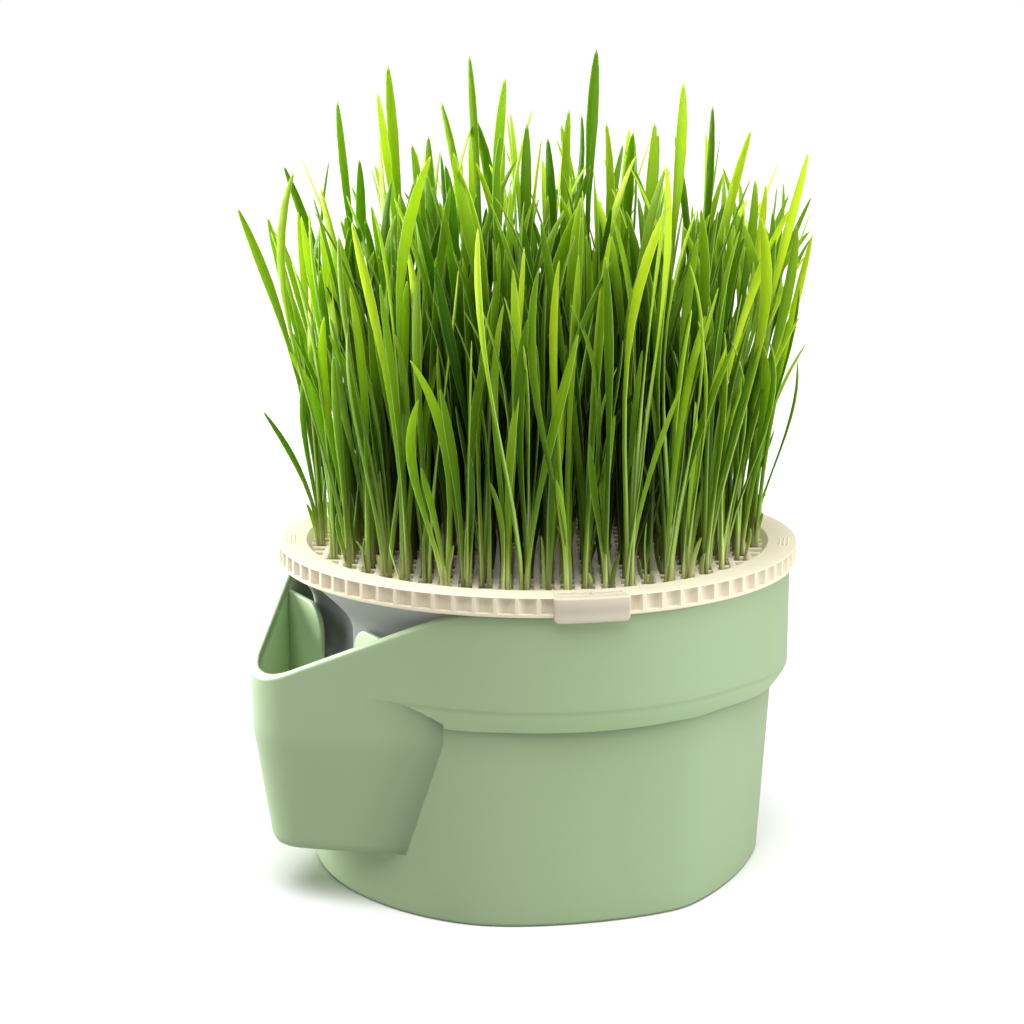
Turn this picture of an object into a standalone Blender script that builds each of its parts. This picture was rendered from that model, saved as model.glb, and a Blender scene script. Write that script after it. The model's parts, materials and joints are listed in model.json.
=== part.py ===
"""Young wheatgrass growing through the mesh lid of a small planter with a filling spout.

Units are metres and +Z is up. The origin is on the floor at the pot's axis, and the spout points
to -Y. An angle is measured round +Z from the spout, -Y, towards +X.
"""
import math
import random

import bmesh
import bpy
from mathutils import Matrix, Vector

MM = 0.001
FITTING_GAP = 0.3 * MM
CREASE_ANGLE = math.radians(28)
RING_STEP = 0.02 * MM

# Outer pot: round collar above, body with slightly bulging sides below
WALL = 2.0 * MM
FLOOR = 2.4 * MM
COLLAR_TOP = 88.9 * MM
COLLAR_RADIUS = 73.2 * MM
COLLAR_PROFILE = [
    (63.4 * MM, 73.2 * MM),
    (56.6 * MM, 68.8 * MM),
]
SHOULDER_END = 56.2 * MM
SHOULDER_FALL = 3.9 * MM
FALL_START = math.radians(105)
FALL_END = math.radians(150)
BODY_CORNER_RADIUS = 66.3 * MM
BODY_DRAFT = 0.06
BODY_CORNERS = [math.radians(a) for a in (-48.5, 48.5, 98.7, 147.9, 212.1, 261.3, 311.5)]
SPOUT_SIDE_RADIUS = 67.5 * MM
SIDE_RADIUS = 113.0 * MM
CORNER_SHARPNESS = 70
BASE_EDGE = 1.2 * MM

# Spout and the pocket below it
TIP_DISTANCE = 68.15 * MM
TIP_RADIUS = 19.2 * MM
RIM_SLOPE = 0.70
RIM_SLOPE_START = 53.4 * MM
POCKET_TURN = math.radians(2.0)
POCKET_TAPER_TOP = 50.0 * MM
POCKET_BOTTOM = 17.0 * MM
POCKET_TAPER = 0.18
POCKET_CORNER_SHIFT = 0.40
POCKET_CORNER_RADIUS = 4.0 * MM
POCKET_EDGE = 4.0 * MM
POCKET_STEP_IN = 0.05 * MM

# Ribs between the spout and the pot
RIB_FACE = 64.5 * MM
RIB_THICKNESS = 1.6 * MM
RIB_HALF_GAP = 11.0 * MM
RIB_TOP = 80.0 * MM
RIB_CORNER = 8.0 * MM

# Inner bucket, outer radius by height from the rim to the foot
BUCKET_WALL = 1.6 * MM
BUCKET_PROFILE = [
    (88.9 * MM, 67.6 * MM),
    (84.0 * MM, 67.3 * MM),
    (80.6 * MM, 63.4 * MM),
    (56.0 * MM, 62.6 * MM),
    (54.4 * MM, 58.2 * MM),
    (26.0 * MM, 55.0 * MM),
    (23.6 * MM, 52.6 * MM),
]
SCOOP_DISTANCE = 78.0 * MM
SCOOP_RADIUS = 20.0 * MM
SCOOP_CENTRE = 66.5 * MM
SCOOP_FOOT = 44.0 * MM

# Lid: ring, tab and mesh
LID_RADIUS = 75.0 * MM
LID_STEPS = 60
LID_BOTTOM = 89.2 * MM
LID_TOP = 94.56 * MM
LID_TOP_EDGE = 0.8 * MM
LID_BOTTOM_EDGE = 0.3 * MM
LID_FACE_INNER = 66.6 * MM
LID_OPENING = 64.8 * MM
MESH_TOP = 91.6 * MM
MESH_BOTTOM = 90.0 * MM
MESH_PITCH = 9.6 * MM
MESH_BAR = 2.0 * MM
MESH_SINK = 0.5 * MM
MESH_MARGIN = 0.4 * MM
MESH_TURN = math.radians(60.0)
TAB_ANGLE = math.radians(71.0)
TAB_WIDTH = 20.4 * MM
TAB_RADIUS = 76.1 * MM
TAB_BOTTOM = 87.85 * MM
TAB_TOP = 94.3 * MM
TAB_DEPTH = 6.0 * MM
TAB_CORNER = 1.6 * MM
TAB_INNER_GAP = 0.6 * MM

# Growing medium and root mat
SOIL_TOP = 86.6 * MM
MAT_BOTTOM = 87.0 * MM
MAT_TOP = 89.4 * MM
MAT_RADIUS = 63.6 * MM
MAT_TAPER = 1.0 * MM

# Wheatgrass shoots
SEED = 11
SHOOTS_PER_HOLE = 3.8
SHOOT_TRIES = 80
SHOOT_TALLEST = 232.5 * MM
SHOOT_HEIGHTS = [
    (0.16, 114 * MM, 156 * MM),
    (0.74, 76 * MM, 114 * MM),
    (0.90, 40 * MM, 76 * MM),
    (1.00, 12 * MM, 34 * MM),
]
RIM_SHORTENING = 0.16
BLADE_WIDTH = 2.4 * MM
BLADE_WIDENING = 0.016
WIDTH_RANGE = (0.86, 1.08)
STEM_RADIUS = 1.0 * MM
STEM_MARGIN = 1.45 * STEM_RADIUS
ROOT_DEPTH = 0.8 * MM
BLADE_CLEARANCE = 0.35 * MM
SPREAD = 0.19
SPREAD_AT_AXIS = 0.35
ROOT_LEAN = 0.45
STIR = 0.035

GREEN = (0.32, 0.46, 0.24, 1.0)
GREY = (0.30, 0.31, 0.30, 1.0)
CREAM = (0.80, 0.74, 0.60, 1.0)
EARTH = (0.09, 0.06, 0.04, 1.0)
LEAF = (0.16, 0.42, 0.06, 1.0)


def clear_scene():
    for old in list(bpy.data.objects):
        bpy.data.objects.remove(old, do_unlink=True)


def new_collection(name):
    collection = bpy.data.collections.new(name)
    bpy.context.scene.collection.children.link(collection)
    return collection


def material(name, colour, roughness):
    finish = bpy.data.materials.new(name)
    finish.use_nodes = True
    shader = finish.node_tree.nodes["Principled BSDF"]
    shader.inputs["Base Color"].default_value = colour
    shader.inputs["Roughness"].default_value = roughness
    shader.inputs["Metallic"].default_value = 0.0
    return finish


def new_object(name, bm, collection, finish=None):
    bmesh.ops.recalc_face_normals(bm, faces=bm.faces)
    mesh = bpy.data.meshes.new(name)
    bm.to_mesh(mesh)
    bm.free()
    piece = bpy.data.objects.new(name, mesh)
    collection.objects.link(piece)
    if finish:
        mesh.materials.append(finish)
        mesh.shade_smooth()
        mesh.set_sharp_from_angle(angle=CREASE_ANGLE)
    return piece


def as_cutter(piece):
    piece.hide_render = True
    piece.display_type = "WIRE"
    return piece


def at(angle, radius, height):
    """Point at an angle round the axis from the spout."""
    return Vector((radius * math.sin(angle), -radius * math.cos(angle), height))


def along(table, height):
    """Value at a height in a table of (height, value) that runs downwards."""
    if height >= table[0][0]:
        return table[0][1]
    for (z_high, v_high), (z_low, v_low) in zip(table, table[1:]):
        if height >= z_low:
            share = (height - z_low) / (z_high - z_low)
            return v_low + (v_high - v_low) * share
    return table[-1][1]


def loft(name, rings, collection, finish):
    """Closed body through rings of equally many points, with flat caps on the first and last."""
    bm = bmesh.new()
    loops = [[bm.verts.new(point) for point in ring] for ring in rings]
    count = len(loops[0])
    for low, high in zip(loops, loops[1:]):
        for i in range(count):
            j = (i + 1) % count
            bm.faces.new((low[i], low[j], high[j], high[i]))
    bm.faces.new(loops[0])
    bm.faces.new(loops[-1])
    return new_object(name, bm, collection, finish)


def spout_reach(angle, collar, tip, turn=0.0):
    """Radius of the outline drawn tight round the collar's circle and the spout's tip."""
    off = abs(angle)
    lean = math.acos((COLLAR_RADIUS - TIP_RADIUS) / TIP_DISTANCE) + turn
    wall = TIP_DISTANCE * math.cos(lean) + tip
    if off >= lean:
        return collar if turn == 0.0 else 0.0
    tangent = math.atan2(tip * math.sin(lean), TIP_DISTANCE + tip * math.cos(lean))
    if off >= tangent:
        return wall / math.cos(lean - off)
    across = TIP_DISTANCE * math.sin(off)
    return TIP_DISTANCE * math.cos(off) + math.sqrt(tip * tip - across * across)


def shoulder_fall(angle):
    """How much lower the collar reaches towards the back of the pot."""
    off = math.acos(math.cos(angle))
    share = min(1.0, max(0.0, (off - FALL_START) / (FALL_END - FALL_START)))
    return SHOULDER_FALL * share * share * (3 - 2 * share)


def collar_radius(angle, height, inset):
    """Round collar with the spout's straight walls, chamfered below and square underneath."""
    height += shoulder_fall(angle)
    if height < SHOULDER_END + inset - 1e-7:
        return 0.0
    collar = along(COLLAR_PROFILE, height - inset) - inset
    return spout_reach(angle, collar, collar - COLLAR_RADIUS + TIP_RADIUS)


def body_radius(angle, height, inset):
    """Lower body: arcs of a wide radius from corner to corner, and a round stretch at the spout."""
    corner = BODY_CORNER_RADIUS + BODY_DRAFT * height
    total = 0.0
    for start, end in zip(BODY_CORNERS, BODY_CORNERS[1:]):
        half = 0.5 * (end - start)
        off = angle - 0.5 * (start + end)
        bend = SPOUT_SIDE_RADIUS if start < 0 else SIDE_RADIUS
        bend += BODY_DRAFT * height
        centre = math.sqrt(bend ** 2 - (corner * math.sin(half)) ** 2) - corner * math.cos(half)
        reach = math.sqrt((bend - inset) ** 2 - (centre * math.sin(off)) ** 2)
        total += (reach - centre * math.cos(off)) ** -CORNER_SHARPNESS
    radius = total ** (-1 / CORNER_SHARPNESS)
    rise = min(1.0, (height - (FLOOR if inset else 0.0)) / BASE_EDGE)
    return radius - BASE_EDGE * (1 - math.sqrt(1 - (1 - rise) ** 2))


def pocket_radius(angle, height, inset):
    """Tapered pocket below the spout, as deep as the spout's walls and turned in at the sides."""
    bottom = POCKET_BOTTOM + inset
    if height < bottom - 1e-7:
        return 0.0
    fall = max(0.0, POCKET_TAPER_TOP - height)
    rise = min(1.0, (height - bottom) / POCKET_EDGE)
    edge = POCKET_EDGE * (1 - math.sqrt(1 - (1 - rise) ** 2))
    tip = TIP_RADIUS - POCKET_STEP_IN - inset - POCKET_TAPER * fall - edge
    lean = math.acos((COLLAR_RADIUS - TIP_RADIUS) / TIP_DISTANCE) + POCKET_TURN
    wall = TIP_DISTANCE * math.cos(lean) + tip
    shift = -POCKET_CORNER_SHIFT * fall
    bend = POCKET_CORNER_RADIUS - min(inset, 0.5 * POCKET_CORNER_RADIUS)
    centre = complex(wall - bend, shift - edge)
    turned_in = lean + math.atan2(centre.imag, centre.real)
    corner = abs(centre)
    edge_angle = lean + math.atan2(shift - edge, wall)
    off = abs(angle)
    if off <= edge_angle:
        return spout_reach(angle, 0.0, tip, POCKET_TURN)
    beyond = corner * math.sin(off - turned_in)
    if abs(beyond) >= bend:
        return 0.0
    return corner * math.cos(off - turned_in) + math.sqrt(bend * bend - beyond * beyond)


def pot_radius(angle, height, inset=0.0):
    return max(
        collar_radius(angle, height, inset),
        body_radius(angle, height, inset),
        pocket_radius(angle, height, inset),
    )


def pot_angles():
    """Close steps round the spout, and eight steps to each side of the body."""
    spout = [math.radians(a) for a in (0, 4, 8, 12, 16, 21, 25, 28, 31, 34, 37.6, 40, 42.5, 45)]
    front = [-a for a in reversed(spout[1:])] + spout
    steps = 8
    back = [BODY_CORNERS[1]]
    for start, end in zip(BODY_CORNERS[1:], BODY_CORNERS[2:]):
        back += [start + (end - start) * (i + 1) / steps for i in range(steps)]
    return front + back


def rim_height(point_distance):
    return COLLAR_TOP - RIM_SLOPE * max(0.0, point_distance - RIM_SLOPE_START)


def pot_ring(angles, height, inset=0.0, rim_share=None):
    """Ring at one height, or at a share of the way from there up to the sloping rim."""
    ring = []
    for angle in angles:
        z = height
        if height > POCKET_TAPER_TOP:
            z -= shoulder_fall(angle)
        radius = pot_radius(angle, z, inset)
        if rim_share is not None:
            z += rim_share * (rim_height(radius * math.cos(angle)) - z)
        ring.append(at(angle, radius, z))
    return ring


def outer_pot(parts, tools, finish):
    angles = pot_angles()
    outside = [0.0, BASE_EDGE, POCKET_BOTTOM - RING_STEP, POCKET_BOTTOM]
    outside += [POCKET_BOTTOM + 0.3 * POCKET_EDGE, POCKET_BOTTOM + POCKET_EDGE, POCKET_TAPER_TOP]
    outside += [SHOULDER_END - RING_STEP, SHOULDER_END + RING_STEP]
    outside += [height for height, _ in reversed(COLLAR_PROFILE)]
    rings = [pot_ring(angles, height) for height in outside]
    base = COLLAR_PROFILE[0][0]
    rings += [pot_ring(angles, base, 0.0, 1.0), pot_ring(angles, base + WALL, WALL, 1.0)]
    inside = [height + WALL for height, _ in COLLAR_PROFILE]
    inside += [SHOULDER_END + WALL, SHOULDER_END + WALL - RING_STEP, POCKET_TAPER_TOP - WALL]
    inside += [POCKET_BOTTOM + WALL + POCKET_EDGE, POCKET_BOTTOM + WALL]
    inside += [POCKET_BOTTOM + WALL - RING_STEP, FLOOR + BASE_EDGE, FLOOR]
    rings += [pot_ring(angles, height, WALL) for height in inside]
    pot = loft("outer_pot", rings, parts, finish)
    for side in (-1, 1):
        union = pot.modifiers.new("rib", "BOOLEAN")
        union.operation = "UNION"
        union.object = rib(side, tools)
    return pot


def rib(side, tools):
    """Upright plate between the spout and the pot, sunk into the pocket's wall and floor."""
    def wall_offset(height):
        inset = 0.5 * WALL
        low, high = 0.0, math.radians(50)
        for _ in range(40):
            middle = 0.5 * (low + high)
            reach = pot_radius(middle, height, inset) * math.cos(middle)
            low, high = (middle, high) if reach > RIB_FACE - 0.5 * RIB_THICKNESS else (low, middle)
        return (RIB_FACE - 0.5 * RIB_THICKNESS) * math.tan(low)

    foot = POCKET_BOTTOM + 0.6 * WALL
    heights = [POCKET_BOTTOM + POCKET_EDGE, POCKET_TAPER_TOP, COLLAR_PROFILE[0][0] + WALL, RIB_TOP]
    outline = [(wall_offset(z) if z < RIB_TOP else wall_offset(RIB_TOP - 3 * MM), z) for z in heights]
    outline.insert(0, (outline[0][0] - POCKET_EDGE, foot))
    steps = 4
    for i in range(steps + 1):
        turn = 0.5 * math.pi * i / steps
        across = RIB_HALF_GAP + RIB_CORNER * (1 - math.sin(turn))
        outline.append((across, RIB_TOP - RIB_CORNER * (1 - math.cos(turn))))
    outline.append((RIB_HALF_GAP, foot))
    bm = bmesh.new()
    face = bm.faces.new([bm.verts.new((side * x, -RIB_FACE, z)) for x, z in outline])
    grown = bmesh.ops.extrude_face_region(bm, geom=[face])
    verts = [item for item in grown["geom"] if isinstance(item, bmesh.types.BMVert)]
    bmesh.ops.translate(bm, verts=verts, vec=(0.0, RIB_THICKNESS, 0.0))
    return as_cutter(new_object("rib_%s" % ("left" if side < 0 else "right"), bm, tools))


def scoop_reach(angle, height):
    """Distance from the axis to the arched recess that faces the spout, or infinity."""
    above = max(0.0, height - SCOOP_CENTRE)
    if above >= SCOOP_RADIUS or height < SCOOP_FOOT:
        return math.inf
    bend = math.sqrt(SCOOP_RADIUS ** 2 - above ** 2)
    across = SCOOP_DISTANCE * math.sin(angle)
    if abs(across) >= bend or math.cos(angle) < 0:
        return math.inf
    return SCOOP_DISTANCE * math.cos(angle) - math.sqrt(bend ** 2 - across ** 2)


def bucket_ring(angles, height, inset=0.0):
    """Ring of the bucket's outside, or of a surface that lies inset within it."""
    ring = []
    for angle in angles:
        scoop = min(scoop_reach(angle, height - inset), scoop_reach(angle, height + inset))
        radius = min(along(BUCKET_PROFILE, height - inset), scoop)
        ring.append(at(angle, radius - inset, height))
    return ring


def bucket_angles(steps):
    """Close steps across the recess, and wide ones round the rest."""
    close = [math.radians(a) for a in (-17, -14, -10.5, -7, -3.5, 0, 3.5, 7, 10.5, 14, 17)]
    start = close[-1]
    sweep = 2 * math.pi - 2 * start
    return close + [start + sweep * i / steps for i in range(1, steps)]


def bucket_heights(inset=0.0):
    """Heights that the rings need, above the foot by inset and up to the rim."""
    heights = [height + inset for height, _ in BUCKET_PROFILE[1:]]
    heights += [SCOOP_FOOT - inset - RING_STEP, SCOOP_FOOT - inset + RING_STEP]
    heights += [SCOOP_CENTRE + share * SCOOP_RADIUS + inset for share in (0.4, 0.75, 0.95)]
    return sorted(heights)


def inner_bucket(parts, finish):
    angles = bucket_angles(24)
    rim = BUCKET_PROFILE[0][0]
    rings = [bucket_ring(angles, height) for height in bucket_heights() + [rim]]
    inside = [rim] + bucket_heights(BUCKET_WALL)[::-1]
    rings += [bucket_ring(angles, height, BUCKET_WALL) for height in inside]
    return loft("inner_bucket", rings, parts, finish)


def soil(parts, finish):
    """Growing medium, a fitting gap inside the bucket's wall and floor."""
    angles = bucket_angles(24)
    inset = BUCKET_WALL + 4 * FITTING_GAP
    heights = [height for height in bucket_heights(inset) if height < SOIL_TOP] + [SOIL_TOP]
    return loft("soil", [bucket_ring(angles, height, inset) for height in heights], parts, finish)


def lid_ring(parts, finish):
    """Turned ring; the profile runs down its outer side and back up its bore."""
    profile = [
        (LID_FACE_INNER, LID_TOP),
        (LID_RADIUS - LID_TOP_EDGE, LID_TOP),
        (LID_RADIUS, LID_TOP - LID_TOP_EDGE),
        (LID_RADIUS, LID_BOTTOM + LID_BOTTOM_EDGE),
        (LID_RADIUS - LID_BOTTOM_EDGE, LID_BOTTOM),
        (LID_OPENING, LID_BOTTOM),
        (LID_OPENING, MESH_TOP),
    ]
    bm = bmesh.new()
    verts = [bm.verts.new((radius, 0.0, height)) for radius, height in profile]
    for i, vert in enumerate(verts):
        bm.edges.new((vert, verts[(i + 1) % len(verts)]))
    mesh = bpy.data.meshes.new("lid")
    bm.to_mesh(mesh)
    bm.free()
    mesh.materials.append(finish)
    lid = bpy.data.objects.new("lid", mesh)
    parts.objects.link(lid)
    screw = lid.modifiers.new("turn", "SCREW")
    screw.steps = LID_STEPS
    screw.render_steps = LID_STEPS
    screw.use_merge_vertices = True
    screw.merge_threshold = 0.01 * MM
    screw.use_normal_calculate = True
    return lid


def mesh_holes():
    """Centres of the mesh's square holes, in the lid's turned grid."""
    reach = int(LID_OPENING / MESH_PITCH) + 1
    across = Vector((math.cos(MESH_TURN), math.sin(MESH_TURN), 0.0))
    away = Vector((-math.sin(MESH_TURN), math.cos(MESH_TURN), 0.0))
    half_hole = 0.5 * (MESH_PITCH - MESH_BAR)
    centres = []
    for row in range(-reach, reach + 1):
        for column in range(-reach, reach + 1):
            x, y = (column + 0.5) * MESH_PITCH, (row + 0.5) * MESH_PITCH
            corner = math.hypot(abs(x) + half_hole, abs(y) + half_hole)
            if corner < LID_OPENING - MESH_MARGIN:
                centres.append(across * x + away * y)
    return centres


def lid_mesh(tools):
    """Disc with a square hole at each centre, sunk into the ring."""
    bm = bmesh.new()
    thickness = MESH_TOP - MESH_BOTTOM
    bmesh.ops.create_cone(
        bm, cap_ends=True, segments=LID_STEPS, radius1=LID_OPENING + MESH_SINK,
        radius2=LID_OPENING + MESH_SINK, depth=thickness - 10 * RING_STEP,
    )
    bmesh.ops.translate(bm, verts=bm.verts, vec=(0.0, 0.0, 0.5 * (MESH_TOP + MESH_BOTTOM)))
    plate = new_object("mesh_plate", bm, tools)
    bm = bmesh.new()
    side = MESH_PITCH - MESH_BAR
    for centre in mesh_holes():
        made = bmesh.ops.create_cube(bm, size=1.0)
        bmesh.ops.scale(bm, verts=made["verts"], vec=(side, side, 4 * thickness))
        turn = (math.cos(MESH_TURN), math.sin(MESH_TURN))
        for vert in made["verts"]:
            x, y = vert.co.x, vert.co.y
            vert.co.x = x * turn[0] - y * turn[1] + centre.x
            vert.co.y = x * turn[1] + y * turn[0] + centre.y
            vert.co.z += MESH_BOTTOM
    holes = as_cutter(new_object("mesh_holes", bm, tools))
    cut = plate.modifiers.new("holes", "BOOLEAN")
    cut.operation = "DIFFERENCE"
    cut.object = holes
    return as_cutter(plate)


def lid_tab(tools):
    """Lifting tab at the front of the ring."""
    bm = bmesh.new()
    made = bmesh.ops.create_cube(bm, size=1.0)
    bmesh.ops.scale(bm, verts=made["verts"], vec=(TAB_WIDTH, TAB_DEPTH, TAB_TOP - TAB_BOTTOM))
    upright = [
        edge for edge in bm.edges
        if abs((edge.verts[0].co - edge.verts[1].co).normalized().y) > 0.9 and edge.verts[0].co.z < 0
    ]
    bmesh.ops.bevel(bm, geom=upright, offset=TAB_CORNER, segments=2, profile=0.5, affect="EDGES")
    long = [edge for edge in bm.edges if edge.calc_length() > 0.8 * TAB_WIDTH]
    bmesh.ops.subdivide_edges(bm, edges=long, cuts=3)
    for vert in bm.verts:
        low = vert.co.z < 0
        x, y, z = vert.co.x, -vert.co.y, vert.co.z + 0.5 * (TAB_TOP + TAB_BOTTOM)
        radius = TAB_RADIUS - 0.5 * TAB_DEPTH + y
        radius = max(radius, COLLAR_RADIUS + TAB_INNER_GAP) if low else radius
        vert.co = at(TAB_ANGLE + x / TAB_RADIUS, radius, z)
    return as_cutter(new_object("lid_tab", bm, tools))


def lid(parts, tools, finish):
    ring = lid_ring(parts, finish)
    for name, tool in (("mesh", lid_mesh(tools)), ("tab", lid_tab(tools))):
        union = ring.modifiers.new(name, "BOOLEAN")
        union.operation = "UNION"
        union.object = tool
    return ring


class Shoot:
    """One blade: a thin stem that widens into a leaf and ends in a point."""

    sections = ((0.0, 0.50), (0.36, 0.86), (0.70, 1.0), (1.0, 0.0))

    def __init__(self, root, lean, height, width, facing):
        self.root = root
        self.lean = lean
        self.height = height
        self.width = width
        self.facing = facing

    def centre(self, share):
        """Point on the shoot's line: upright at the root, leaning more towards the tip."""
        rise = self.height * share
        return self.root + self.lean * (rise * (ROOT_LEAN + (1.0 - ROOT_LEAN) * share)) + Vector((0, 0, rise))

    def half_width(self, height):
        share = height / self.height
        if share >= 1.0:
            return 0.0
        for (low, w_low), (high, w_high) in zip(self.sections, self.sections[1:]):
            if share <= high:
                part = (share - low) / (high - low)
                return 0.5 * self.width * (w_low + (w_high - w_low) * part)
        return 0.0

    def clear_of(self, other):
        steps = 9
        top = min(self.height, other.height)
        for i in range(steps + 1):
            height = top * i / steps
            gap = self.centre(height / self.height) - other.centre(height / other.height)
            room = self.half_width(height) + other.half_width(height) + BLADE_CLEARANCE
            if math.hypot(gap.x, gap.y) < max(room, 2 * STEM_RADIUS + BLADE_CLEARANCE):
                return False
        return True

    def add_to(self, bm):
        side = Vector((math.cos(self.facing), math.sin(self.facing), 0.0))
        back = Vector((-side.y, side.x, 0.0))
        loops = []
        for share, width in self.sections[:-1]:
            centre = self.centre(share)
            half = 0.5 * self.width * width
            keel = 0.9 * STEM_RADIUS if share else 1.3 * STEM_RADIUS
            points = (centre - side * half - back * 0.3 * keel,
                      centre + side * half - back * 0.3 * keel,
                      centre + back * keel)
            loops.append([bm.verts.new(point) for point in points])
        tip = bm.verts.new(self.centre(1.0))
        for low, high in zip(loops, loops[1:]):
            for i in range(3):
                j = (i + 1) % 3
                bm.faces.new((low[i], low[j], high[j], high[i]))
        for i in range(3):
            bm.faces.new((loops[-1][i], loops[-1][(i + 1) % 3], tip))
        bm.faces.new(loops[0])


def draw_shoot(rng, centre, attempt):
    """A shoot in one mesh hole; the head leans outwards more towards the rim."""
    offset = 0.5 * (MESH_PITCH - MESH_BAR) - STEM_MARGIN
    root = Vector((rng.uniform(-offset, offset), rng.uniform(-offset, offset), 0.0))
    root.rotate(Matrix.Rotation(MESH_TURN, 3, "Z"))
    root += Vector((centre.x, centre.y, MAT_TOP - ROOT_DEPTH))
    outward = Vector((root.x, root.y, 0.0)) / LID_OPENING
    lean = outward * SPREAD * (outward.length + SPREAD_AT_AXIS)
    lean += Vector((rng.uniform(-STIR, STIR), rng.uniform(-STIR, STIR), 0.0))
    drawn = min(1.0, rng.random() + attempt / SHOOT_TRIES)
    low, high = next((low, high) for share, low, high in SHOOT_HEIGHTS if drawn <= share)
    height = rng.uniform(low, high) * (1.0 - RIM_SHORTENING * outward.length ** 3)
    height = min(height, SHOOT_TALLEST - root.z)
    width = BLADE_WIDTH + BLADE_WIDENING * min(height, SHOOT_HEIGHTS[1][2])
    width *= rng.uniform(*WIDTH_RANGE)
    return Shoot(root, lean, height, width, rng.uniform(0.0, math.pi))


def grow_shoots():
    rng = random.Random(SEED)
    grown = []
    for centre in mesh_holes():
        near = [shoot for shoot in grown if (shoot.root - centre).length < 5 * MESH_PITCH]
        for _ in range(int(SHOOTS_PER_HOLE + rng.random())):
            for attempt in range(SHOOT_TRIES):
                shoot = draw_shoot(rng, centre, attempt)
                if all(shoot.clear_of(other) for other in near):
                    grown.append(shoot)
                    near.append(shoot)
                    break
    return grown


def grass(parts, finish):
    """Root mat with every shoot fused into it."""
    bm = bmesh.new()
    bmesh.ops.create_cone(
        bm, cap_ends=True, segments=40, radius1=MAT_RADIUS - MAT_TAPER, radius2=MAT_RADIUS,
        depth=MAT_TOP - MAT_BOTTOM,
    )
    bmesh.ops.translate(bm, verts=bm.verts, vec=(0.0, 0.0, 0.5 * (MAT_TOP + MAT_BOTTOM)))
    mat = new_object("grass", bm, parts, finish)
    bm = bmesh.new()
    for shoot in grow_shoots():
        shoot.add_to(bm)
    shoots = new_collection("shoots")
    new_object("shoot_blades", bm, shoots, finish)
    union = mat.modifiers.new("shoots", "BOOLEAN")
    union.operation = "UNION"
    union.operand_type = "COLLECTION"
    union.collection = shoots
    union.solver = "MANIFOLD"
    bpy.context.view_layer.update()
    fused = bpy.data.meshes.new_from_object(mat.evaluated_get(bpy.context.evaluated_depsgraph_get()))
    fused.name = "grass"
    mat.modifiers.clear()
    mat.data = fused
    for blade in list(shoots.objects):
        bpy.data.objects.remove(blade, do_unlink=True)
    bpy.data.collections.remove(shoots)
    return mat


def build():
    clear_scene()
    parts = new_collection("wheatgrass_tray")
    tools = new_collection("cutters")
    outer_pot(parts, tools, material("pot_green", GREEN, 0.5))
    inner_bucket(parts, material("bucket_grey", GREY, 0.5))
    soil(parts, material("soil_brown", EARTH, 0.95))
    lid(parts, tools, material("lid_cream", CREAM, 0.45))
    grass(parts, material("grass_green", LEAF, 0.45))


build()
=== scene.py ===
"""Looks of the wheatgrass tray: a finer skin for each node of the CAD model, a studio, a camera.

Units are metres and +Z is up. The spout points to -Y, and an angle is measured round +Z from -Y
towards +X.
"""

import json
import random
from math import acos, atan2, copysign, cos, degrees, hypot, pi, radians, sin, sqrt, tan

import bmesh
import bpy
import numpy as np
from mathutils import Matrix, Vector

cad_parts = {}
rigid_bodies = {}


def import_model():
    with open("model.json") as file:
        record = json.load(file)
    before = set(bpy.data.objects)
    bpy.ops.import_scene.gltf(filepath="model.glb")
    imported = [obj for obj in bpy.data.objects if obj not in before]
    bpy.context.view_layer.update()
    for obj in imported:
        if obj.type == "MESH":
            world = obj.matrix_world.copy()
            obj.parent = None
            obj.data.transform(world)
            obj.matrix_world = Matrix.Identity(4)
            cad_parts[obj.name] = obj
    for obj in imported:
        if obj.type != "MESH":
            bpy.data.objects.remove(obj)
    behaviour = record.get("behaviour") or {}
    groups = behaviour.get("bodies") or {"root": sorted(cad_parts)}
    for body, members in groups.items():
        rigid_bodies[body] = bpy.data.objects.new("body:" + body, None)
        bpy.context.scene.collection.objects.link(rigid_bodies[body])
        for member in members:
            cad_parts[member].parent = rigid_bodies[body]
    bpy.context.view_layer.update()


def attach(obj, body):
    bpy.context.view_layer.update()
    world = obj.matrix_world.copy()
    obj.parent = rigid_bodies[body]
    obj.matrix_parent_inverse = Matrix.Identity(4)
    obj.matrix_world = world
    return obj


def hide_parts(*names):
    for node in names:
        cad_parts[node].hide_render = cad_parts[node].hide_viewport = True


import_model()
MM = 0.001

# Outer pot
# One injection moulding in matt sage green plastic, 2 mm thick. A round collar stands out over a
# body whose sides bulge a little between soft corners, and on one side it is drawn out into a
# V-shaped filling spout with a pocket below it, which two upright ribs part from the pot.
POT_WALL = 2 * MM
POT_FLOOR = 2.4 * MM
COLLAR_TOP = 88.9 * MM
COLLAR_RADIUS = 73.2 * MM
LIP_BOTTOM = 56.2 * MM
LIP_TOP = 63.4 * MM
LIP_FALL = 3.9 * MM
LIP_DROP = 4.4 * MM
LIP_BEND = 1.35
# Painted light: the chamfer's colour is raised by this share, over this part of its height.
LIP_PAINTED_LIGHT = 0.26
LIP_PAINTED_LIGHT_REACH = 0.3
LIP_EDGE_START = 0.93
LIP_EDGE = 0.4 * MM
LIP_SOFT = 0.3 * MM
BODY_CORNERS = [radians(a) for a in (-48.5, 48.5, 98.7, 147.9, 212.1, 261.3, 311.5)]
BODY_CORNER_RADIUS = 66.3 * MM
BODY_DRAFT = 0.06
SPOUT_SIDE_RADIUS = 67.5 * MM
SIDE_RADIUS = 113 * MM
CORNER_SHARPNESS = 70
BASE_EDGE = 1.2 * MM
TIP_DISTANCE = 69.3 * MM
TIP_RADIUS = 19.2 * MM
SPOUT_LEAN = acos((COLLAR_RADIUS - TIP_RADIUS) / TIP_DISTANCE)
RIM_SLOPE = 0.70
RIM_SLOPE_START = 53.4 * MM
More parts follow.
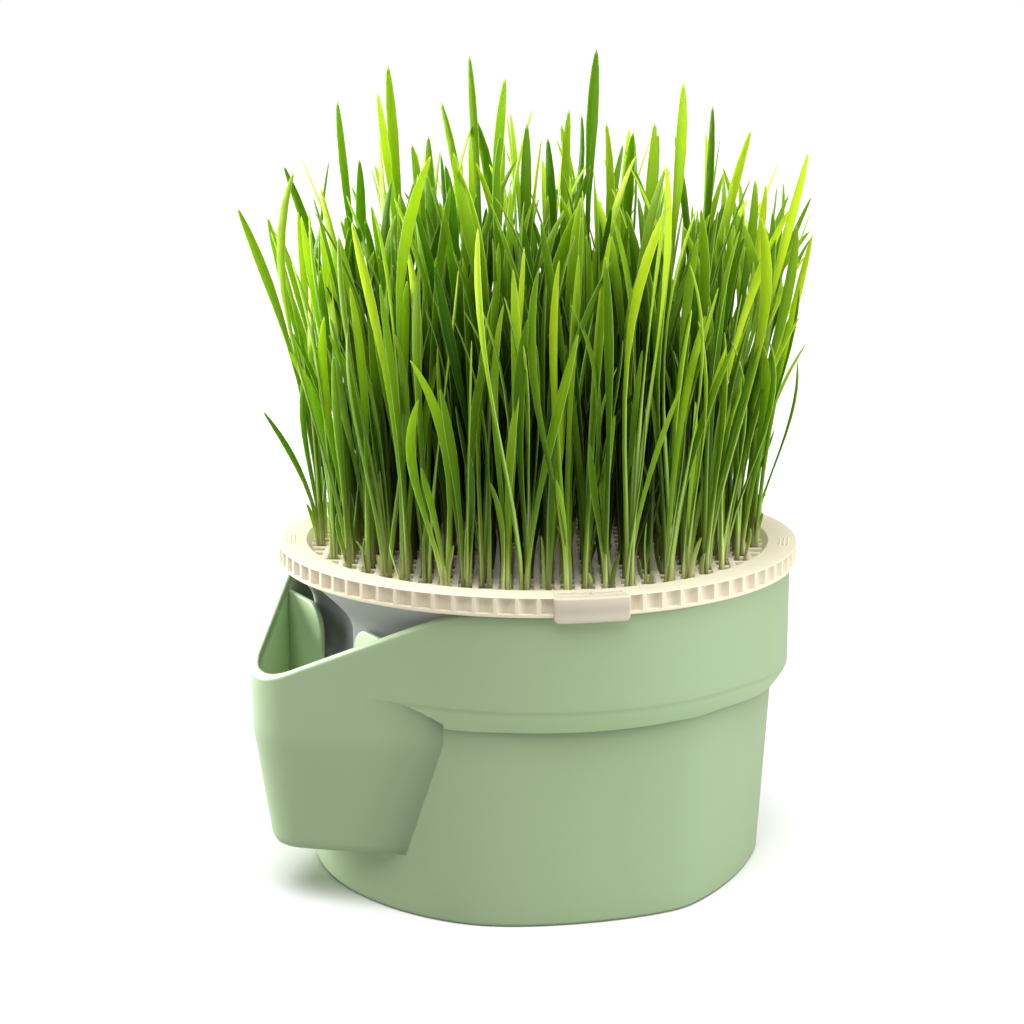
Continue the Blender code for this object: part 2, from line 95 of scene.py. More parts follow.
RIM_SLOPE_SOFT = 2.5 * MM
RIM_EDGE = 0.6 * MM
POCKET_FALL = 0.070
POCKET_TAPER_TOP = 51.6 * MM
POCKET_TAPER = 0.15
POCKET_TAPER_SOFT = 1.2 * MM
POCKET_BOTTOM = 18.4 * MM
POCKET_EDGE = 3 * MM
POCKET_CREASE_TOP = 52 * MM
POCKET_END = 0.6 * MM
POCKET_SLANT = 0.39
POCKET_BEND_LENGTH = 15 * MM
POCKET_BEND_POWER = 2.6
# Painted shade towards the pocket's crease: over this length along its wall, by this share.
POCKET_SHADE_LENGTH = 22 * MM
POCKET_DARKENING = 0.36
# Painted shade below the lip: (millimetres below it, share of colour kept).
LIP_SHADE = [(0.0, 0.66), (1.1, 0.80), (2.2, 0.87), (3.3, 0.92), (5.5, 0.97), (10.0, 1.0)]
RIB_FACE = 64.5 * MM
RIB_THICKNESS = 1.6 * MM
RIB_HALF_GAP = 11 * MM
RIB_TOP = 78.2 * MM
RIB_CORNER = 8 * MM
RIB_EDGE = 0.5 * MM
RIB_FOOT = 21 * MM
RIB_CUT = 3 * MM
# Painted light: colour of the pot's inside below the rim, and of the ribs, is multiplied by these.
INSIDE_PAINTED_LIGHT = 1.9
RIB_PAINTED_LIGHT = 1.4
POT_GREEN = (0.322, 0.432, 0.247, 1.0)
POT_GREEN_DEEP = (0.306, 0.416, 0.231, 1.0)


def at(angle, radius, height):
    """Point at an angle round the axis from the spout."""
    return Vector((radius * sin(angle), -radius * cos(angle), height))


def smooth_max(a, b, soft):
    return 0.5 * (a + b + hypot(a - b, soft))


def spread_over(stretches):
    """Values from a list of (start, end, steps) stretches that follow on from each other."""
    values = [stretches[0][0]]
    for start, end, steps in stretches:
        values += [start + (end - start) * i / steps for i in range(1, steps + 1)]
    return values


def bent_sheet(columns, levels, place):
    """Closed skin: a flat grid that place(column, level) bends, welded at seam and poles."""
    bm = bmesh.new()
    bmesh.ops.create_grid(bm, x_segments=columns, y_segments=levels - 1, size=0.5)
    for vert in bm.verts:
        column = round((vert.co.x + 0.5) * columns) % columns
        level = round((vert.co.y + 0.5) * (levels - 1))
        vert.co = place(column, level)
    bmesh.ops.remove_doubles(bm, verts=bm.verts, dist=0.001 * MM)
    return bm


def soften(bm, edges, offset, segments=3):
    """Round the given edges off."""
    bmesh.ops.bevel(
        bm, geom=edges, offset=offset, segments=segments, profile=0.5, affect="EDGES", material=-1,
    )


def keep_values(mesh, name, values):
    """Write one value per vertex as an attribute for the material."""
    mesh.attributes.new(name, "FLOAT", "POINT").data.foreach_set("value", values)


def put_object(name, data):
    """Object of a mesh, light or camera in the scene."""
    made = bpy.data.objects.new(name, data)
    bpy.context.scene.collection.objects.link(made)
    return made


def mesh_of(name, bm):
    """Mesh of a finished bmesh, which is freed."""
    mesh = bpy.data.meshes.new(name)
    bm.to_mesh(mesh)
    bm.free()
    return mesh


def new_piece(name, bm, finish, sharp=None, shade=None):
    """Object of a finished mesh, with its painted shade (a factor on its colour) as an attribute.
    """
    bmesh.ops.recalc_face_normals(bm, faces=bm.faces)
    mesh = mesh_of(name, bm)
    mesh.materials.append(finish)
    mesh.shade_smooth()
    keep_values(mesh, "shade", [shade(vert.co) if shade else 1.0 for vert in mesh.vertices])
    if sharp:
        mesh.set_sharp_from_angle(angle=radians(sharp))
    return put_object(name, mesh)


def tangent_angle(tip):
    """Angle at which the spout's round tip meets its straight wall."""
    return atan2(tip * sin(SPOUT_LEAN), TIP_DISTANCE + tip * cos(SPOUT_LEAN))


def spout_reach(angle, collar, tip):
    """Radius of the outline drawn tight round the collar's circle and the spout's tip."""
    off = abs(angle)
    if off >= SPOUT_LEAN:
        return collar
    if off >= tangent_angle(tip):
        return (TIP_DISTANCE * cos(SPOUT_LEAN) + tip) / cos(SPOUT_LEAN - off)
    across = TIP_DISTANCE * sin(off)
    return TIP_DISTANCE * cos(off) + sqrt(tip * tip - across * across)


def smooth_step(low, high, value):
    share = np.clip((value - low) / (high - low), 0.0, 1.0)
    return share * share * (3 - 2 * share)


def lip_heights(angle):
    """Lower and upper edge of the chamfer under the collar, which reaches lower at the back."""
    fall = LIP_FALL * float(smooth_step(105, 150, degrees(abs(angle))))
    return LIP_BOTTOM - fall, LIP_TOP - fall


def collar_reach(angle, height, inset):
    """Round collar with the spout's straight walls, chamfered below and square underneath."""
    low, high = lip_heights(angle)
    if height < low + inset - 1e-9:
        return 0.0
    share = max(0.0, (high + inset - height) / (high - low))
    drop = LIP_DROP * share ** LIP_BEND
    if share > LIP_EDGE_START:
        round_off = (share - LIP_EDGE_START) / (1 - LIP_EDGE_START)
        drop += LIP_EDGE * (1 - sqrt(max(0.0, 1 - round_off ** 2)))
    return spout_reach(angle, COLLAR_RADIUS - drop - inset, TIP_RADIUS - drop - inset)


def body_reach(angle, height, inset):
    """Lower body: arcs of a wide radius from corner to corner, and a round stretch at the spout."""
    corner = BODY_CORNER_RADIUS + BODY_DRAFT * height
    total = 0.0
    for start, end in zip(BODY_CORNERS, BODY_CORNERS[1:]):
        half = 0.5 * (end - start)
        off = angle - 0.5 * (start + end)
        bend = SPOUT_SIDE_RADIUS if start < 0 else SIDE_RADIUS
        bend += BODY_DRAFT * height
        centre = sqrt(bend ** 2 - (corner * sin(half)) ** 2) - corner * cos(half)
        reach = sqrt((bend - inset) ** 2 - (centre * sin(off)) ** 2)
        total += (reach - centre * cos(off)) ** -CORNER_SHARPNESS
    rise = min(1.0, (height - (POT_FLOOR if inset else 0.0)) / BASE_EDGE)
    edge = BASE_EDGE * (1 - sqrt(1 - (1 - rise) ** 2))
    return total ** (-1 / CORNER_SHARPNESS) - edge


def pocket_heights(angle):
    """Bottom of the pocket and the line its taper starts from; both fall towards the tip."""
    fall = POCKET_FALL * COLLAR_RADIUS * tan(max(0.0, SPOUT_LEAN - abs(angle)))
    return POCKET_BOTTOM - fall, POCKET_TAPER_TOP - fall


def pocket_fall(height, top):
    """How far the taper has brought the pocket in at a height."""
    below = top - height
    return POCKET_TAPER * 0.5 * (below + hypot(below, POCKET_TAPER_SOFT))


def pocket_wall(height, top):
    """Distance of the pocket's wall from the axis, and where along it the pocket ends."""
    wall = TIP_DISTANCE * cos(SPOUT_LEAN) + TIP_RADIUS - pocket_fall(height, top)
    return wall, POCKET_END - POCKET_SLANT * max(0.0, POCKET_CREASE_TOP - height)


def pocket_end_angle(height):
    """Angle at which the pocket ends against the body, at a height."""
    wall, end = pocket_wall(height, POCKET_TAPER_TOP)
    return SPOUT_LEAN + atan2(end, wall)


def pocket_reach(angle, height, inset):
    """Tapered pocket below the spout, whose wall bends in till it meets the body."""
    bottom, top = pocket_heights(angle)
    rise = min(1.0, max(0.0, (height - bottom - inset) / POCKET_EDGE))
    edge = POCKET_EDGE * (1 - sqrt(1 - (1 - rise) ** 2))
    wall, end = pocket_wall(height, top)
    off = abs(angle)
    stop = pocket_end_angle(height)
    if off > stop + 1e-6:
        return 0.0
    lean = SPOUT_LEAN
    tip = TIP_RADIUS - inset - pocket_fall(height, top) - edge
    if off < tangent_angle(tip):
        return spout_reach(off, 0.0, tip)
    drop = wall - body_reach(stop, max(height, 2 * BASE_EDGE), 0.0) * cos(stop - lean)
    beyond = max(0.0, wall * tan(off - lean) - end + POCKET_BEND_LENGTH) / POCKET_BEND_LENGTH
    bend = drop * beyond ** POCKET_BEND_POWER
    return (TIP_DISTANCE * cos(lean) + tip - bend) / cos(lean - off)


def pot_reach(angle, height, inset=0.0):
    """Outside of the pot, or a surface that lies inset within it."""
    low, high = lip_heights(angle)
    collar = collar_reach(angle, height, inset)
    if height >= high + inset:
        return collar
    reach = body_reach(angle, height, inset)
    if height >= pocket_heights(angle)[0] + inset - 1e-9:
        reach = max(reach, pocket_reach(angle, height, inset))
    if collar == 0.0:
        return reach
    share = (high + inset - height) / (high - low)
    return smooth_max(reach, collar, LIP_SOFT * min(1.0, 4 * share, 6 * (1 - share)))


def rim_height(distance):
    """The rim falls towards the spout's tip, with a soft start."""
    beyond = distance - RIM_SLOPE_START
    return COLLAR_TOP - RIM_SLOPE * 0.5 * (beyond + hypot(beyond, RIM_SLOPE_SOFT))


POT_HALF = spread_over([
    (0, 10, 16), (10, 26, 16), (26, 38, 34), (38, 42, 24), (42, 46, 8), (46, 52, 12),
    (52, 95, 26), (95, 103, 14), (103, 144, 24), (144, 152, 12), (152, 180, 12),
])
POT_COLUMNS = POT_HALF + [-angle for angle in reversed(POT_HALF[1:-1])]
POCKET_COLUMN = 40.0
POCKET_LAST_COLUMN = 46.0


def pot_angle(column, height):
    """Angle of a column; the columns at the pocket's end follow its slanting edge."""
    column = POT_COLUMNS[column]
    off = abs(column)
    low = pocket_heights(SPOUT_LEAN)[0]
    edge = degrees(pocket_end_angle(max(low, height)))
    if off <= POCKET_COLUMN:
        off *= edge / POCKET_COLUMN
    elif off < POCKET_LAST_COLUMN:
        share = (off - POCKET_COLUMN) / (POCKET_LAST_COLUMN - POCKET_COLUMN)
        off = edge + (POCKET_LAST_COLUMN - edge) * share
    return copysign(radians(off), column)


def pot_stations(angle, lift):
    """Heights at an angle between which the rings are shared out, from the base to the collar."""
    bottom, top = pocket_heights(angle)
    low, high = lip_heights(angle)
    top = min(top, low - 4 * MM)
    stations = [0.0, BASE_EDGE, bottom - 0.01 * MM, bottom, bottom + POCKET_EDGE, top]
    stations = [height + (lift if i > 2 else 0.0) for i, height in enumerate(stations)]
    return stations + [low + lift - 0.01 * MM, low + lift, high + lift]


def pot_levels():
    """Levels as (station, share to the next, share up to the rim, drop, inset, spread)."""
    quarter = [1 - cos(radians(10 * i)) for i in range(10)]
    levels = [(0, 0.0, 0.0, 0.0, 0.0, share) for share in (0.0, 0.5, 0.92)]
    outside = [(0, share) for share in quarter[:-1]]
    outside += [(1, i / 5) for i in range(5)] + [(2, 0.0)]
    outside += [(3, share) for share in quarter[:-1]]
    outside += [(4, i / 24) for i in range(24)] + [(5, i / 12) for i in range(12)] + [(6, 0.0)]
    outside += [(7, share) for share in (0.0, 0.03, 0.07)]
    outside += [(7, 0.1 + 0.04 * i) for i in range(23)]
    levels += [(station, share, 0.0, 0.0, 0.0, 1.0) for station, share in outside]
    levels += [(8, 0.0, i / 12, RIM_EDGE * i / 12, 0.0, 1.0) for i in (0, 0.2, *range(1, 13))]
    turns = [radians(turn) for turn in (22.5, 45, 67.5, 90)]
    rounds = [(1 - sin(turn), 1 - cos(turn)) for turn in turns]
    levels += [(8, 0.0, 1.0, RIM_EDGE * down, RIM_EDGE * back, 1.0) for down, back in rounds]
    levels += [(8, 0.0, 1.0, RIM_EDGE * down, POT_WALL - RIM_EDGE * back, 1.0)
               for down, back in reversed(rounds)]
    levels += [(8, 0.0, 1 - i / 10, RIM_EDGE * (1 - i / 10), POT_WALL, 1.0) for i in range(11)]
    inside = [(7, 0.5), (7, 0.0), (6, 0.0)] + [(5, 1 - i / 8) for i in range(1, 9)]
    inside += [(4, 1 - i / 10) for i in range(1, 11)] + [(3, 0.5), (3, 0.2), (3, 0.0), (2, 0.0)]
    levels += [(station, share, 0.0, 0.0, POT_WALL, 1.0) for station, share in inside]
    floor = [(1, 1.0), (0, 0.9), (0, 0.0)]
    return levels + [(station, 0.0, 0.0, -POT_FLOOR, POT_WALL, share) for station, share in floor]


POT_LEVELS = pot_levels()


def pot_point(column, level):
    station, share, rim_share, drop, inset, spread = POT_LEVELS[level]
    rough = pot_stations(radians(POT_COLUMNS[column]), inset)
    nearly = rough[station] + share * (rough[min(station + 1, 8)] - rough[station])
    angle = pot_angle(column, nearly)
    heights = pot_stations(angle, inset)
    height = heights[station] + share * (heights[min(station + 1, 8)] - heights[station])
    reach = pot_reach(angle, max(height, POT_FLOOR + 1e-6) if inset else height, inset)
    if rim_share:
        height += rim_share * (rim_height(reach * cos(angle)) - height)
    return at(angle, reach * spread, height - drop)


def lip_line(angle):
    """Height of the lip's lower edge; over the pocket it is where the chamfer leaves the wall."""
    low, high = lip_heights(angle)
    gap = spout_reach(angle, COLLAR_RADIUS, TIP_RADIUS) - pocket_reach(angle, high, 0.0)
    share = min(1.0, max(0.0, gap / LIP_DROP)) ** (1 / LIP_BEND)
    return high - share * (high - low)


def pot_shade(point):
    """Painted shade below the collar's lip and towards the pocket's crease, painted light on the
    chamfer and on the inside below the rim.
    """
    angle = atan2(point.x, -point.y)
    off = abs(angle)
    reach = pot_reach(angle, max(point.z, POT_FLOOR))
    if hypot(point.x, point.y) < reach - 0.5 * POT_WALL:
        # Painted light on the inside below the rim.
        below_rim = rim_height(reach * cos(angle)) - point.z
        return 1.0 + (INSIDE_PAINTED_LIGHT - 1.0) * float(smooth_step(RIM_EDGE, 5 * RIM_EDGE, below_rim))
    low, high = lip_heights(angle)
    line = lip_line(angle)
    if point.z > line:
        # Painted light on the chamfer.
        return 1.0 + LIP_PAINTED_LIGHT * float(smooth_step(
            0.0, LIP_PAINTED_LIGHT_REACH * (high - low), high - point.z))
    # Painted shade under the lip.
    under_lip = float(np.interp((line - point.z) / MM, *zip(*LIP_SHADE)))
    if off >= pocket_end_angle(point.z) - 1e-4 or point.z < pocket_heights(angle)[0]:
        return under_lip
    # Painted shade towards the pocket's crease.
    wall, end = pocket_wall(point.z, pocket_heights(angle)[1])
    along_wall = wall * tan(off - SPOUT_LEAN) - end + POCKET_SHADE_LENGTH
    near = min(1.0, max(0.0, along_wall / POCKET_SHADE_LENGTH))
    return (1 - POCKET_DARKENING * near ** 2) * under_lip ** near


def rib_point(side, height):
    """Place on the middle of the spout's wall where a rib meets it."""
    low, high = 0.0, radians(50)
    face = RIB_FACE - 0.5 * RIB_THICKNESS
    for _ in range(30):
        middle = 0.5 * (low + high)
        if pot_reach(middle, height, 0.5 * POT_WALL) * cos(middle) > face:
            low = middle
        else:
            high = middle
    return Vector((side * face * tan(low), -RIB_FACE, height))


def rib(side):
    """Upright plate with one rounded free corner and soft edges, sunk into the spout's wall."""
    heights = spread_over([(RIB_FOOT, RIB_TOP - RIB_CUT, 12)])
    outline = [rib_point(side, height) for height in heights]
    outline[-1].z = RIB_TOP
    outline.insert(0, Vector((outline[0].x - side * POCKET_EDGE, -RIB_FACE, POCKET_BOTTOM + MM)))
    for i in range(9):
        turn = radians(90 * i / 8)
        across = RIB_HALF_GAP + RIB_CORNER * (1 - sin(turn))
        height = RIB_TOP - RIB_CORNER * (1 - cos(turn))
        outline.append(Vector((side * across, -RIB_FACE, height)))
    outline.append(Vector((side * RIB_HALF_GAP, -RIB_FACE, POCKET_BOTTOM + MM)))
    bm = bmesh.new()
    face = bm.faces.new([bm.verts.new(point) for point in outline])
    grown = bmesh.ops.extrude_face_region(bm, geom=[face])
    verts = [item for item in grown["geom"] if isinstance(item, bmesh.types.BMVert)]
    bmesh.ops.translate(bm, verts=verts, vec=(0.0, RIB_THICKNESS, 0.0))
    rims = [edge for edge in bm.edges if abs(edge.verts[0].co.y - edge.verts[1].co.y) < 0.1 * MM]
    soften(bm, rims, RIB_EDGE)
    return bm


def give(tree, node, sockets):
    """Set a node's sockets, by name or number, to a value or to another node's output."""
    for name, value in sockets.items():
        if isinstance(value, bpy.types.NodeSocket):
            tree.links.new(value, node.inputs[name])
        else:
            node.inputs[name].default_value = value


def add_node(tree, kind, sockets, **settings):
    """New shader node with its settings made and its sockets given."""
    node = tree.nodes.new("ShaderNode" + kind)
    for name, value in settings.items():
        setattr(node, name, value)
    give(tree, node, sockets)
    return node


def mix(tree, factor, first, second, blend="MIX"):
    """Mixed colour of two colours or outputs."""
    sockets = {"Factor": factor, "A": first, "B": second}
    return add_node(tree, "Mix", sockets, data_type="RGBA", blend_type=blend).outputs["Result"]


def new_material(name, roughness, specular):
    """Material with its node tree and its shader."""
    finish = bpy.data.materials.new(name)
    finish.use_nodes = True
    shader = finish.node_tree.nodes["Principled BSDF"]
    give(finish.node_tree, shader, {"Roughness": roughness, "Specular IOR Level": specular})
    return finish, finish.node_tree, shader


def moulded_plastic():
    """Node group of a moulded surface: the mould's fine grain and a faint cloudiness."""
    group = bpy.data.node_groups.new("moulded_plastic", "ShaderNodeTree")
    for name, way, kind in (
        ("Grain", "INPUT", "Float"), ("Normal", "OUTPUT", "Vector"), ("Cloud", "OUTPUT", "Float"),
    ):
        group.interface.new_socket(name, in_out=way, socket_type="NodeSocket" + kind)
    given = group.nodes.new("NodeGroupInput")
    place = add_node(group, "TexCoord", {}).outputs["Object"]
    fine = add_node(group, "TexNoise", {"Vector": place, "Scale": 2200.0, "Detail": 2.0})
    wide = add_node(group, "TexNoise", {"Vector": place, "Scale": 38.0, "Detail": 3.0})
    bump = add_node(group, "Bump", {
        "Height": fine.outputs["Fac"], "Strength": given.outputs["Grain"], "Distance": 0.02 * MM,
    })
    result = group.nodes.new("NodeGroupOutput")
    give(group, result, {"Normal": bump.outputs["Normal"], "Cloud": wide.outputs["Fac"]})
    return group


MOULDED = moulded_plastic()


def plastic(name, colour, deep, roughness, grain, glow=0.0):
    """Moulded plastic whose colour drifts a little between two tones, times its painted shade."""
    finish, tree, shader = new_material(name, roughness, 0.4)
    mould = add_node(tree, "Group", {"Grain": grain}, node_tree=MOULDED)
    painted_shade = add_node(tree, "Attribute", {}, attribute_name="shade").outputs["Fac"]
    tone = mix(tree, mould.outputs["Cloud"], deep, colour)
    # The colour is multiplied by the piece's painted shade.
    give(tree, shader, {
        "Base Color": mix(tree, 1.0, tone, painted_shade, "MULTIPLY"), "Normal": mould.outputs["Normal"],
        "Subsurface Weight": glow, "Subsurface Radius": (1.0, 0.8, 0.5),
        "Subsurface Scale": 2 * MM,
    })
    return finish


pot_plastic = plastic("pot_plastic", POT_GREEN, POT_GREEN_DEEP, 0.46, 0.35)
pot_pieces = [new_piece(
    "pot_moulding", bent_sheet(len(POT_COLUMNS), len(POT_LEVELS), pot_point), pot_plastic,
    shade=pot_shade,
)]
for side, name in ((-1, "left"), (1, "right")):
    pot_pieces.append(new_piece(
        # The ribs' colour is raised by painted light.
        "pot_rib_" + name, rib(side), pot_plastic, 40, lambda point: RIB_PAINTED_LIGHT,
    ))
for piece in pot_pieces:
    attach(piece, "root")
    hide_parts("outer_pot")

# Inner bucket
# A grey plastic moulding that hangs from the collar's rim inside the pot and holds the growing
# medium. An arched recess in its wall leaves room for water behind the spout.
BUCKET_WALL = 1.6 * MM
BUCKET_PROFILE = [(height * MM, radius * MM) for height, radius in (
    (88.9, 69.4), (87.0, 69.1), (85.0, 68.4), (83.0, 67.3), (81.0, 66.1), (79.0, 65.4),
    (76.0, 65.0), (56.0, 62.6), (54.4, 58.2), (26.0, 55.0), (23.6, 52.6),
)]
SCOOP_DISTANCE = 78 * MM
SCOOP_RADIUS = 20 * MM
SCOOP_CENTRE = 77 * MM
SCOOP_RISE = 10 * MM
SCOOP_SINK = 27 * MM
SCOOP_TURN = radians(-3.2)
# Painted shade: the recess keeps this share of the grey's colour.
SCOOP_SHADE = 0.46
SCOOP_SOFT = 0.5 * MM
BUCKET_GREY = (0.40, 0.405, 0.405, 1.0)
BUCKET_GREY_DEEP = (0.37, 0.375, 0.375, 1.0)


def along(table, height):
    """Value at a height in a table of (height, value) that runs downwards."""
    return float(np.interp(height, *zip(*reversed(table))))


def bucket_reach(angle, height):
    """Bucket's radius, with the arched recess that faces the spout."""
    reach = along(BUCKET_PROFILE, height)
    above = (height - SCOOP_CENTRE) / (SCOOP_RISE if height > SCOOP_CENTRE else SCOOP_SINK)
    if abs(above) >= 1 or cos(angle) < 0:
        return reach
    bend = SCOOP_RADIUS * sqrt(1 - above ** 2)
    across = SCOOP_DISTANCE * sin(angle - SCOOP_TURN)
    if abs(across) >= bend:
        return reach
    scoop = SCOOP_DISTANCE * cos(angle - SCOOP_TURN) - sqrt(bend ** 2 - across ** 2)
    return -smooth_max(-reach, -scoop, SCOOP_SOFT)


BUCKET_HALF = spread_over([(0, 18, 60), (18, 180, 72)])
BUCKET_COLUMNS = BUCKET_HALF + [-angle for angle in reversed(BUCKET_HALF[1:-1])]
BUCKET_HEIGHTS = spread_over([
    (23.6 * MM, 26 * MM, 3), (26 * MM, 54 * MM, 12), (54 * MM, 57 * MM, 6), (57 * MM, 66 * MM, 6),
    (66 * MM, 87 * MM, 50), (87 * MM, 88.9 * MM, 2),
])
BUCKET_LEVELS = [(BUCKET_HEIGHTS[0], 0.0, 0.0), (BUCKET_HEIGHTS[0], 0.0, 0.5)]
BUCKET_LEVELS += [(height, 0.0, 1.0) for height in BUCKET_HEIGHTS]
BUCKET_LEVELS += [(height, BUCKET_WALL, 1.0) for height in reversed(BUCKET_HEIGHTS[1:])]
BUCKET_LEVELS += [(BUCKET_HEIGHTS[1], BUCKET_WALL, 0.5), (BUCKET_HEIGHTS[1], BUCKET_WALL, 0.0)]


def bucket_point(column, level):
    height, inset, share = BUCKET_LEVELS[level]
    angle = radians(BUCKET_COLUMNS[column])
    return at(angle, (bucket_reach(angle, height) - inset) * share, height)


def bucket_shade(point):
    """Painted shade in the recess, as hardly any light reaches it."""
    angle = atan2(point.x, -point.y)
    depth = along(BUCKET_PROFILE, point.z) - bucket_reach(angle, point.z)
    return 1.0 + (SCOOP_SHADE - 1.0) * float(smooth_step(0.2 * MM, 1.2 * MM, depth))


bucket_plastic = plastic("bucket_plastic", BUCKET_GREY, BUCKET_GREY_DEEP, 0.5, 0.3)
bucket = new_piece(
    "bucket_moulding", bent_sheet(len(BUCKET_COLUMNS), len(BUCKET_LEVELS), bucket_point),
    bucket_plastic, sharp=40, shade=bucket_shade,
)
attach(bucket, "root")
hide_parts("inner_bucket")

# Growing medium
# Moist plant fibre, dark brown and crumbly, which fills the bucket up to the root mat.
SOIL_GAP = 1.2 * MM
SOIL_TOP = 86.6 * MM
SOIL_BROWN = (0.075, 0.048, 0.030, 1.0)
SOIL_LIGHT = (0.19, 0.13, 0.08, 1.0)


def crumbly(name, colour, light, size):
    """Rough natural stuff in two tones, with crumbs of a given size."""
    finish, tree, shader = new_material(name, 0.9, 0.2)
    place = add_node(tree, "TexCoord", {}).outputs["Object"]
    crumbs = add_node(tree, "TexVoronoi", {"Vector": place, "Scale": 1.0 / size})
    noise = add_node(tree, "TexNoise", {"Vector": place, "Scale": 0.5 / size, "Detail": 5.0})
    bump = add_node(tree, "Bump", {
        "Height": crumbs.outputs["Distance"], "Distance": 0.4 * size, "Strength": 0.8,
    })
    tone = mix(tree, noise.outputs["Fac"], colour, light)
    give(tree, shader, {"Base Color": tone, "Normal": bump.outputs["Normal"]})
    return finish


SOIL_HEIGHTS = spread_over([
    (27 * MM, 53 * MM, 10), (53 * MM, 62 * MM, 8), (62 * MM, SOIL_TOP, 24),
])
SOIL_LEVELS = [(SOIL_HEIGHTS[0], share) for share in (0.0, 0.6)]
SOIL_LEVELS += [(height, 1.0) for height in SOIL_HEIGHTS]
SOIL_LEVELS += [(SOIL_TOP, 1 - i / 16) for i in range(1, 17)]


def soil_point(column, level):
    height, share = SOIL_LEVELS[level]
    angle = radians(BUCKET_COLUMNS[column])
    reach = min(bucket_reach(angle, height + step) for step in (-BUCKET_WALL, 0.0, BUCKET_WALL))
    return at(angle, (reach - BUCKET_WALL - SOIL_GAP) * share, height)


soil_fibre = crumbly("soil_fibre", SOIL_BROWN, SOIL_LIGHT, 1.6 * MM)
soil = new_piece(
    "soil_filling", bent_sheet(len(BUCKET_COLUMNS), len(SOIL_LEVELS), soil_point), soil_fibre,
)
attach(soil, "root")
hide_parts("soil")

# Lid ring
# A cream plastic ring that rests on the collar. Concave grip scoops run all round its edge above a
# thin flange, a lifting tab hangs over the collar at one place, and two shallow frames and a few
# raised pips are moulded into its flat top.
LID_RADIUS = 75 * MM
LID_TOP = 94.56 * MM
LID_TOP_EDGE = 0.25 * MM
LID_BOTTOM = 89.2 * MM
LID_BOTTOM_EDGE = 0.3 * MM
LID_FACE_INNER = 66.6 * MM
LID_OPENING = 64.8 * MM
SCOOPS = 84
SCOOP_STEPS = 12
SCOOP_RIB_STEPS = 2
SCOOP_DEPTH = 1.6 * MM
SCOOP_LOW = 90.1 * MM
SCOOP_HIGH = 94.5 * MM
TAB_ANGLE = radians(71.0)
TAB_WIDTH = 20.4 * MM
TAB_RADIUS = 76.1 * MM
TAB_DEPTH = 6 * MM
TAB_BOTTOM = 87.85 * MM
TAB_TOP = 94.62 * MM
TAB_CORNER = 1.4 * MM
TAB_EDGE = 0.5 * MM
TAB_STEP = 0.14 * MM
TAB_STEP_HEIGHT = 91.25 * MM
TAB_CLEARANCE = 0.6 * MM
CREAM = (0.80, 0.735, 0.585, 1.0)
CREAM_DEEP = (0.80, 0.72, 0.55, 1.0)
# Painted shade: the tab keeps this share of the cream's colour.
TAB_SHADE = 0.78
FRAME_LENGTH = 8.6 * MM
FRAME_DEPTH = 3 * MM
FRAME_BAR = 0.40 * MM
FRAME_RADIUS = 71.4 * MM
PIP_RADIUS = 0.36 * MM
PIP_PITCH = 1.15 * MM
PIP_RISE = 0.20 * MM
PIP_SINK = 0.1 * MM
PIP_PLACES = (("left", radians(-24.0)), ("right", radians(142.0)))


def ring_levels():
    """Section of the ring as (radius, height, whether the scoops cut it), once round."""
    section = [(LID_FACE_INNER, LID_TOP - LID_TOP_EDGE, 0)]
    section += [(LID_FACE_INNER + LID_TOP_EDGE, LID_TOP, 0), (70.5 * MM, LID_TOP, 0)]
    for i in range(5):
        turn = radians(22.5 * i)
        out = LID_RADIUS - LID_TOP_EDGE * (1 - sin(turn))
        section.append((out, LID_TOP - LID_TOP_EDGE * (1 - cos(turn)), 0))
    section[-1] = (LID_RADIUS, SCOOP_HIGH - 0.05 * MM, 0)
    scooped = spread_over([(SCOOP_HIGH - 0.12 * MM, SCOOP_LOW + 0.1 * MM, 6)])
    section += [(LID_RADIUS, height, 1) for height in scooped]
    section += [(LID_RADIUS, SCOOP_LOW, 0), (LID_RADIUS, LID_BOTTOM + LID_BOTTOM_EDGE, 0)]
    section += [(LID_RADIUS - LID_BOTTOM_EDGE, LID_BOTTOM, 0), (LID_OPENING, LID_BOTTOM, 0)]
    section += [(LID_OPENING, 91.4 * MM, 0), (LID_OPENING + 0.5 * MM, 92 * MM, 0)]
    return section + section[:1]


RING_LEVELS = ring_levels()


def scoop_depth(column):
    """Depth of a scoop, round across, at one of the ring's columns; the ribs keep none."""
    step = column % SCOOP_STEPS
    if step <= SCOOP_RIB_STEPS:
        return 0.0
    half = 0.5 * (SCOOP_STEPS - SCOOP_RIB_STEPS)
    pitch = 2 * pi * LID_RADIUS / SCOOPS
    half_width = pitch * half / SCOOP_STEPS
    bend = (half_width ** 2 + SCOOP_DEPTH ** 2) / (2 * SCOOP_DEPTH)
    across = half_width * (step - SCOOP_RIB_STEPS - half) / half
    return sqrt(bend ** 2 - across ** 2) - (bend - SCOOP_DEPTH)


def ring_point(column, level):
    radius, height, scooped = RING_LEVELS[level]
    angle = 2 * pi * column / (SCOOPS * SCOOP_STEPS)
    return at(angle, radius - scooped * scoop_depth(column), height)


def cut_across(bm, place, normal):
    """Part all faces along a plane."""
    geom = bm.verts[:] + bm.edges[:] + bm.faces[:]
    bmesh.ops.bisect_plane(bm, geom=geom, plane_co=place, plane_no=normal)


